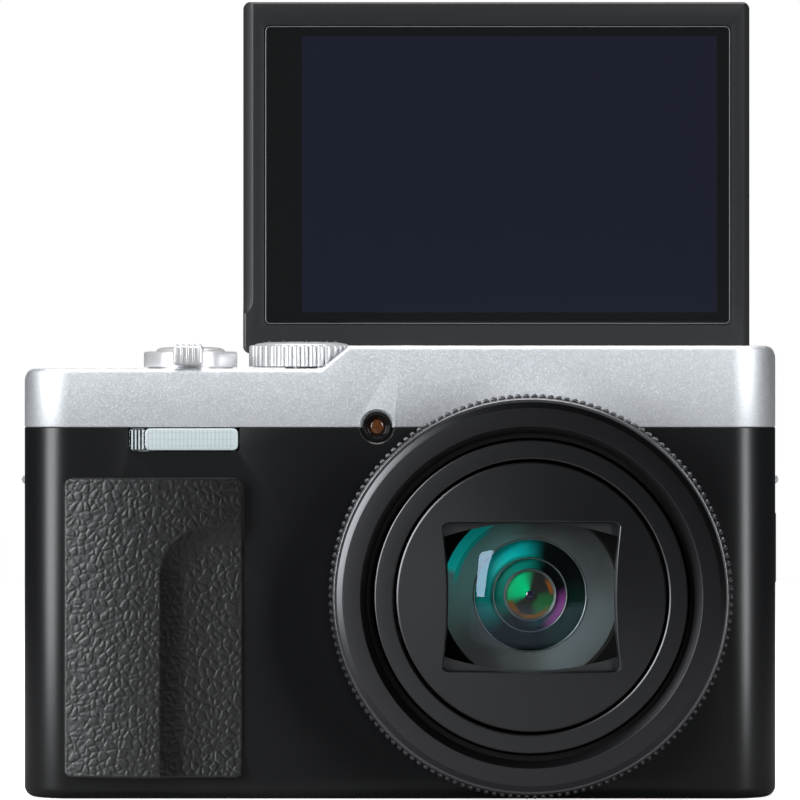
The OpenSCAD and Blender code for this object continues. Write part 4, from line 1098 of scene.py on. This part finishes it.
points, faces = [], []
for j in range(ROWS + 1):
    for i in range(COLUMNS + 1):
        x = GRIP["x0"] + (GRIP["x1"] - GRIP["x0"]) * i / COLUMNS
        z = GRIP["z0"] + (GRIP["z1"] - GRIP["z0"]) * j / ROWS
        depth = pad_depth(x, z)
        x, z = into_corner(x, z)
        edge = min(i, COLUMNS - i, j, ROWS - j) / PLAIN_EDGE
        points.append((x, FRONT - depth - leather(x, z) * ease(edge), z))
wide = COLUMNS + 1
for j in range(ROWS):
    for i in range(COLUMNS):
        a = j * wide + i
        faces.append((a, a + 1, a + wide + 1, a + wide))
rim = list(range(wide)) + [j * wide + COLUMNS for j in range(1, ROWS + 1)]
rim += [ROWS * wide + i for i in range(COLUMNS - 1, -1, -1)] + [j * wide for j in range(ROWS - 1, 0, -1)]
first = len(points)
points += [(points[i][0], FRONT, points[i][2]) for i in rim]
for k in range(len(rim)):
    m = (k + 1) % len(rim)
    faces.append((rim[k], rim[m], first + m, first + k))
faces.append(tuple(range(first, first + len(rim))))
grip = smooth(make_mesh("grip_pad", points, faces), math.radians(60))
place(grip, "body", grip_black, "grip", "grip_leather")

# %% [markdown]
# ## Flash and focus lamp
# The flash sits behind a clear window: a wide lens with fine upright ribs that spread the light,
# and a bright trough behind it. The focus lamp is a small amber lens in a dark collar on the seam.

# %% Flash
pale_lens = finish("pale_lens", (0.5, 0.56, 0.57), 0.14, values=[("Scale", 1200.0)], drift=0.05, bump=0.05)
# The ribs and the cross lines are painted darker than the lens: painted shade lines on the ribbed window.
painted_rib_shade = finish("painted_rib_shade", (0.43, 0.48, 0.49), 0.2, values=[("Scale", 1200.0)], drift=0.1, bump=0.05)
FLASH_LOW, FLASH_HIGH, FLASH_BACK = 51.6, 54.85, -12.9
window_piece = slab("flash_pane", -37.7, -23.95, FLASH_LOW, FLASH_HIGH, -14.12, FLASH_BACK, corner=0.75, edge=0.22)
place(window_piece, "body", pale_lens, "clear", "flash_window")
end_block = slab("flash_end", -40.05, -37.75, FLASH_LOW, FLASH_HIGH, -14.05, FLASH_BACK, corner=0.5, edge=0.15)
place(end_block, "body", clear_plastic, "clear")
prisms = bars("flash_prisms", 4, (0.52, 0, 0), (0.24, 0.5, 2.9), pale_lens, (-39.6, -13.9, 53.2))
place(prisms, "body", pale_lens, "clear")
ribs = bars("flash_ribs", 22, (0.58, 0, 0), (0.16, 0.03, 2.8), painted_rib_shade, (-37.2, -14.12, 53.22))
place(ribs, "body", painted_rib_shade, "clear")
lines = bars("flash_lines", 3, (0, 0, 0.95), (12.6, 0.03, 0.09), painted_rib_shade, (-30.9, -14.125, 52.3))
place(lines, "body", painted_rib_shade, "clear")

# %% Focus lamp
collar = lathe("lamp_collar", fillet([(1.75, -13.75), (2.2, -13.85), (2.2, -11.8), (0.95, -11.8), (0.95, -12.7)],
                                     [0.08, 0.1, 0.1, 0.1, 0.1]), at=LAMP, steps=96)
place(collar, "body", gloss_black, "black_plastic", "af_lamp_ring")
lamp_dome = [(1.2 * math.sin(math.pi / 2 * k / 10), -13.15 + 0.45 * (1 - math.cos(math.pi / 2 * k / 10)))
             for k in range(11)]
lamp = lathe("lamp_lens", lamp_dome + [(1.2, -12.0), (0, -12.0)], at=LAMP, steps=64, closed=False)
place(lamp, "body", amber, "lamp_amber", "af_lamp_lens")

# %% [markdown]
# ## Top controls
# The release is a shallow silver dome inside the zoom lever's ring, whose ribbed tab reaches over
# the front edge. The mode dial has a milled rim, grown with the same tree as the knurl at another
# count and size; the tab's ribs come from the tree for bars.

# %% Zoom lever
lever = lathe("lever_ring", fillet([(5.5, 61.0), (7.2, 61.0), (7.2, 61.8), (6.3, 61.8), (6.3, 63.95), (7.0, 63.95),
                                    (7.0, 66.3), (5.5, 66.3)], [0.1, 0.1, 0.1, 0, 0, 0.1, 0.4, 0.25]),
              "Z", (*SHUTTER, 0), 160)
tab = slab("lever_tab", SHUTTER[0] - 2.25, SHUTTER[0] + 2.25, 64.2, 67.1, -14.2, SHUTTER[1] - 5.9, corner=0.5,
           edge=0.5, back_edge=0.3)
lever = join(lever, tab)
place(lever, "zoom_lever", button_silver, "silver_case", "zoom_lever")
LEVER_RIBS, RIB_STEP = 5, (0.85, 0, 0)
ribs = bars("lever_ribs", LEVER_RIBS, RIB_STEP, (0.38, 4.4, 0.5), button_silver, (SHUTTER[0] - 1.7, -11.8, 67.05))
place(soften(ribs, 0.12), "zoom_lever", button_silver, "silver_case")
front_ribs = bars("lever_front_ribs", LEVER_RIBS, RIB_STEP, (0.38, 0.4, 2.5), button_silver,
                  (SHUTTER[0] - 1.7, -14.15, 65.7))
place(soften(front_ribs, 0.1), "zoom_lever", button_silver, "silver_case")

# %% Release
release = lathe("release_cap", [
    (0, 60.0), (1.9, 60.0), (1.9, 63.5), (5.0, 63.5), (5.2, 63.7), (5.2, 66.2), (5.1, 66.5), (4.8, 66.75),
    (4.2, 66.9), (3.0, 66.98), (1.5, 66.9), (0, 66.85)], "Z", (*SHUTTER, 0), 128, closed=False)
place(release, "shutter_button", button_silver, "button_silver", "shutter_button")

# %% Mode dial
dial = lathe("dial_cap", [(0, 60.5), (4.0, 60.5), (4.0, 61.7), (2.4, 61.7), (2.4, 64.0), (7.2, 64.0), (7.35, 64.15),
                          (7.35, 67.05), (7.1, 67.35), (6.7, 67.55), (5.5, 67.72), (3.0, 67.82), (0, 67.86)],
             "Z", (*DIAL, 0), 160, closed=False)
place(dial, "mode_dial", button_silver, "button_silver", "mode_dial")
rim = teeth("dial_ribs", 38, 7.3, 0.6, 3.0, 12, button_silver, (*DIAL, 65.6))
place(rim, "mode_dial", button_silver, "button_silver")
marks = teeth("dial_marks", 9, 5.1, 0.42, 0.06, 20, screw_black, (*DIAL, 67.75))
place(marks, "mode_dial", screw_black, "button_silver")

# %% Power and movie buttons
power = lathe("power_cap", [(0, 63.6), (3.9, 63.6), (3.9, 64.4), (3.0, 64.4), (3.0, 67.05), (2.8, 67.25), (2.3, 67.3),
                            (0, 67.2)], "Z", (*POWER, 0), 96, closed=False)
place(power, "power_button", button_silver, "button_silver", "power_button")
movie = lathe("movie_cap", [(0, 60.4), (3.6, 60.4), (3.6, 61.2), (2.8, 61.2), (2.8, 63.45), (2.6, 63.65), (2.0, 63.7),
                            (0, 63.6)], "Z", (*MOVIE, 0), 96, closed=False)
place(movie, "movie_button", movie_red, "movie_red", "movie_button")

# %% [markdown]
# ## Flip-up screen
# The panel is a thin dark frame with a sheet of black glass let into it. Behind the glass the
# picture area is a touch lighter and bluer than its printed border. The panel hangs on two short
# arms that turn on the hinge pin.

# %% Panel frame
PANEL = dict(x0=-24.1, x1=53.7, z0=66.2, z1=120.2, y0=14.3, y1=19.2)
GLASS = dict(x0=-20.75, x1=50.75, z0=70.7, z1=116.5)
panel = slab("screen_shell", PANEL["x0"], PANEL["x1"], PANEL["z0"], PANEL["z1"], PANEL["y0"], PANEL["y1"],
             corner=1.1, edge=0.55, back_edge=0.8, steps=5)
GLASS_GAP = 0.12
cut(panel, slab("cutter", GLASS["x0"] - GLASS_GAP, GLASS["x1"] + GLASS_GAP, GLASS["z0"] - GLASS_GAP,
                GLASS["z1"] + GLASS_GAP, 10, 15.4, corner=0.9, edge=0.01))
cut(panel, box(-15.2, 48.7, 13, 17.4, 72.4, 115.0))
STRIP = dict(wide=1.55, slope=math.tan(math.radians(36)), foot=72.2, full=74.8)


def strip_cutter(side, wide, low, full):
    """Wedge that slopes one side of the panel back, its foot running out in a curve."""
    rings = []
    edge = PANEL["x0"] if side < 0 else PANEL["x1"]
    for k in range(13):
        z = low + (full - low) * k / 12 if full > low else low
        w = max(wide * math.sqrt(max(1 - ((full - z) / (full - low)) ** 2, 0)) if full > low else wide, 0.02)
        rings.append([(edge - side * (w + u), PANEL["y0"] + v, z) for u, v in
                      ((0.6, -0.6 * STRIP["slope"]), (-w - 1, (w + 1) * STRIP["slope"]), (-w - 1, -2), (0.6, -2))])
    rings.append([(x, y, PANEL["z1"] + 1) for x, y, z in rings[-1]])
    return loft("cutter", rings)


cut(panel, strip_cutter(-1, STRIP["wide"], STRIP["foot"], STRIP["full"]), strip_cutter(1, 1.0, 64.0, 66.0))
soften(panel, 0.12, angle=12)
HINGE_Y, HINGE_Z = 14.2, 63.0
ARM_XS, ARM_WIDE = (0, 24), 6
for x in ARM_XS:
    arm = box(x, x + ARM_WIDE, 14.3, 17.2, HINGE_Z, 66.8)
    knuckle = rod(0, HINGE_Y, HINGE_Z, 1.7, x, x + ARM_WIDE, "X", 48)
    cut(panel, arm, knuckle, operation="UNION")
    cut(panel, rod(0, HINGE_Y, HINGE_Z, 0.75, x - 1, x + ARM_WIDE + 1, "X", 32))
place(panel, "screen", frame_grey, "black_plastic", "screen_frame")

# %% Screen glass and its picture area
screen_black = bpy.data.materials.new("screen_black")
screen_black.use_nodes = True
tree = screen_black.node_tree
shader = tree.nodes["Principled BSDF"]
shader.inputs["Specular IOR Level"].default_value = 0.4
split = tree.nodes.new("ShaderNodeSeparateXYZ")
link(tree, object_coordinates(tree), split.inputs["Vector"])
PICTURE = dict(x=16.8, z=93.7, w=31.85, h=21.2)


def within(tree, value, middle, reach):
    """1 where the value lies within reach of the middle, both in mm."""
    off = math_node(tree, "ABSOLUTE", math_node(tree, "SUBTRACT", value, middle * MM))
    return math_node(tree, "LESS_THAN", off, reach * MM)


lit = math_node(tree, "MULTIPLY", within(tree, split.outputs["X"], PICTURE["x"], PICTURE["w"]),
                within(tree, split.outputs["Z"], PICTURE["z"], PICTURE["h"]))
blend = tree.nodes.new("ShaderNodeMix")
blend.data_type = "RGBA"
blend.inputs["A"].default_value = (0.0065, 0.007, 0.0072, 1)
blend.inputs["B"].default_value = (0.0088, 0.0098, 0.0185, 1)
link(tree, lit, blend.inputs["Factor"])
link(tree, blend.outputs["Result"], shader.inputs["Base Color"])
spread = tree.nodes.new("ShaderNodeMapRange")
spread.inputs["To Min"].default_value = 0.1
spread.inputs["To Max"].default_value = 0.16
link(tree, lit, spread.inputs["Value"])
link(tree, spread.outputs["Result"], shader.inputs["Roughness"])
glass_sheet = slab("screen_pane", GLASS["x0"], GLASS["x1"], GLASS["z0"], GLASS["z1"], 14.4, 15.38,
                   corner=0.8, edge=0.24)
place(glass_sheet, "screen", screen_black, "dark_glass", "screen_glass")
# The glass's front bevel takes a much lighter grey: a painted highlight line round the pane.
glass_sheet.data.materials.append(painted_bevel_highlight)
for face in glass_sheet.data.polygons:
    if 0.3 < abs(face.normal.y) < 0.97 and face.center.y / MM < 14.8:
        face.material_index = 1

# %% [markdown]
# ## Rear controls and viewfinder
# The user's side has a ribbed dial with a centre button, two small keys, a rubber thumb
# rest and the finder's eyepiece. They are modelled to the same standard as the front, because a
# reusable part is seen from every side.

# %% Dial, keys and thumb rest
ring = lathe("rear_dial_ring", fillet([(4.4, 12), (8.3, 12), (8.3, 15.0), (7.7, 15.3), (5.0, 15.1), (4.4, 15.0)],
                                      [0, 0, 0.2, 0.2, 0.2, 0.1]), at=REAR_DIAL, steps=160)
place(ring, "rear_dial", gloss_black, "black_plastic", "rear_dial")
rim = teeth("rear_dial_ribs", 60, 8.2, 0.28, 2.6, 8, gloss_black, (REAR_DIAL[0], 13.6, REAR_DIAL[2]),
            turn=(90, 0, 0))
place(rim, "rear_dial", gloss_black, "black_plastic")
KEY_BACK = 12.1
for name, at, r, face, node in (("set_cap", REAR_DIAL, 4.1, 15.4, "set_button"),
                                ("playback_cap", PLAYBACK, 2.2, 15.0, "playback_button"),
                                ("delete_cap", DELETE, 2.2, 15.0, "delete_button")):
    outline = [(0, KEY_BACK), (r, KEY_BACK), (r, face - 0.35), (r - 0.12, face - 0.1), (r - 0.4, face),
               (0, face - 0.12)]
    key = lathe(name, outline, at=at, steps=80, closed=False)
    place(key, node, gloss_black, "black_plastic", node)
thumb = slab("thumb_pad", -52, -36, 42, 53, 14.45, 15.6, corner=2.2, edge=0.05, back_edge=0.6)
place(thumb, "body", soft_black, "soft_black", "thumb_rest")
bumps = bars("thumb_ridges", 6, (0, 0, 1.4), (11.0, 0.5, 0.5), soft_black, (-44, 15.6, 44))
place(soften(bumps, 0.15), "body", soft_black, "soft_black")

# %% Eyepiece
eyecup = slab("eyecup", 38.6, 52.4, 60.9, 65.9, 12.2, 13.9, corner=0.9, edge=0.1, back_edge=0.35)
cut(eyecup, slab("cutter", 40.6, 50.4, 61.7, 65.1, 10, 15, corner=0.6, edge=0.01))
place(eyecup, "body", soft_black, "soft_black", "eyepiece_frame")
pane = slab("eye_lens", 40.7, 50.3, 61.8, 65.0, 12.3, 13.3, corner=0.5, edge=0.15)
place(pane, "body", coated_glass, "coated_glass", "eyepiece_lens")
WHEEL = (52.65, 3.5)
wheel = lathe("diopter_core", fillet([(0, 51.7), (3.35, 51.7), (3.35, 54.7), (0, 54.7)], [0, 0.3, 0.3, 0]),
              "Z", (*WHEEL, 0), 96, closed=False)
place(wheel, "diopter_wheel", gloss_black, "black_plastic", "diopter_wheel")
rim = teeth("diopter_ribs", 36, 3.35, 0.22, 2.5, 8, gloss_black, (*WHEEL, 53.2))
place(rim, "diopter_wheel", gloss_black, "black_plastic")

# %% [markdown]
# ## Sides and base
# The terminal door is a thin flap on the side, the strap lugs are turned steel bars across
# small pockets, and the base is a flat plate with the battery door and the tripod bush.

# %% Side pieces
door = slab("terminal_flap", -5.0, 4.7, 31.6, 42.3, 55.1, 56.3, corner=0.6, edge=0.1, back_edge=0.3, facing="X")
place(door, "terminal_door", black_case, "black_case", "terminal_door")
for side, name in ((-1, "lug_left"), (1, "lug_right")):
    bar = lathe(name, [(0, -5.4), (0.6, -5.4), (0.7, -5.3), (0.7, -4.4), (0.62, -4.0), (0.62, -2.0), (0.7, -1.6),
                       (0.7, -0.7), (0.6, -0.6), (0, -0.6)], at=(side * 55.9, 0, 47.2), steps=48, closed=False)
    place(bar, "body", steel, "steel", *(["strap_lugs"] if side < 0 else []))

# %% Base
BASE_SCREWS = ((-12, -9.5), (-12, 5), (36, -9.5), (34, 3))
SPEAKER, SPEAKER_RING = (46, -4), 2.2
base_plate = prism("base_plate", [(0, 1.85), (0.15, 1.7), (1.5, 1.7)])
cut(base_plate, box(-53.7, -16.7, -8.8, 8.3, -1, 3), rod(0, 0, 0, 5.0, -1, 3, "Z", 96))
for x, y in BASE_SCREWS:
    cut(base_plate, rod(x, y, 0, HEAD_R, -1, 0.5, "Z", 40), rod(x, y, 0, SHANK_R, -1, 3, "Z", 24))
for k in range(6):
    a = math.pi / 3 * k
    x, y = SPEAKER[0] + SPEAKER_RING * math.cos(a), SPEAKER[1] + SPEAKER_RING * math.sin(a)
    cut(base_plate, rod(x, y, 0, 0.5, -1, 3, "Z", 16))
place(base_plate, "body", black_case, "black_case", "base_cover")

# %% [markdown]
# ## Parts that stay as CAD
# Everything inside, and the small machined parts, keep their exact CAD mesh. They take a finish
# from the recorded slot, so that opening a door or pulling a barrel shows real materials.

# %% Paint the CAD nodes
by_slot = {
    "black_case": black_case, "silver_case": silver_case, "grip": grip_black, "soft_black": soft_black,
    "steel": steel, "screw_black": screw_black, "lens_black": lens_black, "trim_silver": trim_black,
    "ring_black": knurl_black, "black_plastic": gloss_black, "grey_plastic": grey_plastic, "clear": clear_plastic,
    "coated_glass": coated_glass, "dark_glass": inner_dark, "lamp_amber": amber, "reflector": reflector,
    "sleeve": sleeve, "board_green": board_green, "sensor": inner_dark, "card_blue": card_blue,
    "display": gloss_black, "button_silver": button_silver, "movie_red": movie_red,
}
for part in frame["record"]["subparts"]:
    node = frame["nodes"].get(part["node"])
    if node is None:
        continue
    for index in range(max(len(node.data.materials), 1)):
        if index < len(node.data.materials):
            node.data.materials[index] = by_slot[part["material_slot"]]
        else:
            node.data.materials.append(by_slot[part["material_slot"]])
print("painted", len(frame["nodes"]), "CAD nodes and placed", len(placed), "pieces")

# %% [markdown]
# ## Studio
# A product shot on white. Two tall softboxes stand well to either side in front, so that flat black
# faces mirror the dark gap between them while the rounded ends of the body each draw one bright
# stripe. A broad box overhead lights the deck and the rims. The white seen behind the camera is for
# the viewer only, so it doesn't wash out the blacks.

# %% Table
def is_seen(tree):
    return tree.nodes.new("ShaderNodeLightPath").outputs["Is Camera Ray"]


paper = bpy.data.materials.new("paper")
paper.use_nodes = True
shader = paper.node_tree.nodes["Principled BSDF"]
shader.inputs["Roughness"].default_value = 0.9
shader.inputs["Specular IOR Level"].default_value = 0.1
shader.inputs["Emission Color"].default_value = (1, 1, 1, 1)
seen = is_seen(paper.node_tree)
SEEN_GLOW, SEEN_GREY, TRUE_GREY = 0.75, 0.6, 0.22
link(paper.node_tree, math_node(paper.node_tree, "MULTIPLY", seen, SEEN_GLOW), shader.inputs["Emission Strength"])
pale = math_node(paper.node_tree, "ADD", math_node(paper.node_tree, "MULTIPLY", seen, SEEN_GREY), TRUE_GREY)
link(paper.node_tree, pale, shader.inputs["Base Color"])
table = slab("table", -900, 900, -200, 900, -3.02, -0.02, corner=120, edge=1.0, facing="Z")
table.data.materials.append(paper)


# %% Lights
def softbox(name, at, aim, width, height, power, color=(1, 1, 1)):
    data = bpy.data.lights.new(name, "AREA")
    data.shape = "RECTANGLE"
    data.size, data.size_y = width, height
    data.energy = power
    data.color = color
    obj = bpy.data.objects.new(name, data)
    obj.location = at
    obj.rotation_mode = "QUATERNION"
    obj.rotation_quaternion = (Vector(aim) - Vector(at)).to_track_quat("-Z", "Y")
    bpy.context.scene.collection.objects.link(obj)
    return obj


AIM = (0, 0, 0.05)
COOL = (0.96, 0.985, 1.0)
softbox("left_box", (-0.75, -0.62, 0.34), AIM, 0.42, 0.75, 11.0, COOL)
right_box = softbox("right_box", (0.66, -0.72, 0.24), AIM, 0.22, 0.75, 6.5, COOL)
overhead = softbox("overhead", (0, -0.05, 0.85), AIM, 0.8, 0.5, 8.0)

# %% [markdown]
# The right box is there for the body's round end and the dial. A black card would flag it off
# the lens and the grip, so that their shading comes from one side only; light linking does that.
# The overhead box is flagged off the lens rings too, which stay dark at the top.

# %% Flag boxes off chosen pieces
def flag_off(light, pieces):
    flagged = bpy.data.collections.new("flagged_from_" + light.name)
    light.light_linking.receiver_collection = flagged
    for piece in pieces:
        flagged.objects.link(piece)
    for item in flagged.collection_objects:
        item.light_linking.link_state = "EXCLUDE"


rings = [window_plate, trim, barrel]
flag_off(right_box, rings + [grip, lens, inner, second, third, small])
flag_off(overhead, rings + [grip, inner, second, third])

# %% White for the viewer, dim for the light
world = bpy.data.worlds.new("studio")
world.use_nodes = True
tree = world.node_tree
dim = tree.nodes["Background"]
dim.inputs["Color"].default_value = (0.8, 0.83, 0.86, 1)
dim.inputs["Strength"].default_value = 0.035
white = tree.nodes.new("ShaderNodeBackground")
white.inputs["Color"].default_value = (1, 1, 1, 1)
either = tree.nodes.new("ShaderNodeMixShader")
link(tree, is_seen(tree), either.inputs[0])
link(tree, dim.outputs[0], either.inputs[1])
link(tree, white.outputs[0], either.inputs[2])
link(tree, either.outputs[0], tree.nodes["World Output"].inputs["Surface"])
bpy.context.scene.world = world
bpy.context.scene.view_settings.view_transform = "Standard"

# %% Camera
camera_data = bpy.data.cameras.new("view")
camera_data.sensor_width = 36
camera_data.lens = 224
camera = bpy.data.objects.new("view", camera_data)
camera.location = (0, -0.75, 59.05 * MM)
camera.rotation_euler = (math.pi / 2, 0, 0)
camera_data.clip_start, camera_data.clip_end = 0.01, 20
bpy.context.scene.collection.objects.link(camera)
bpy.context.scene.camera = camera
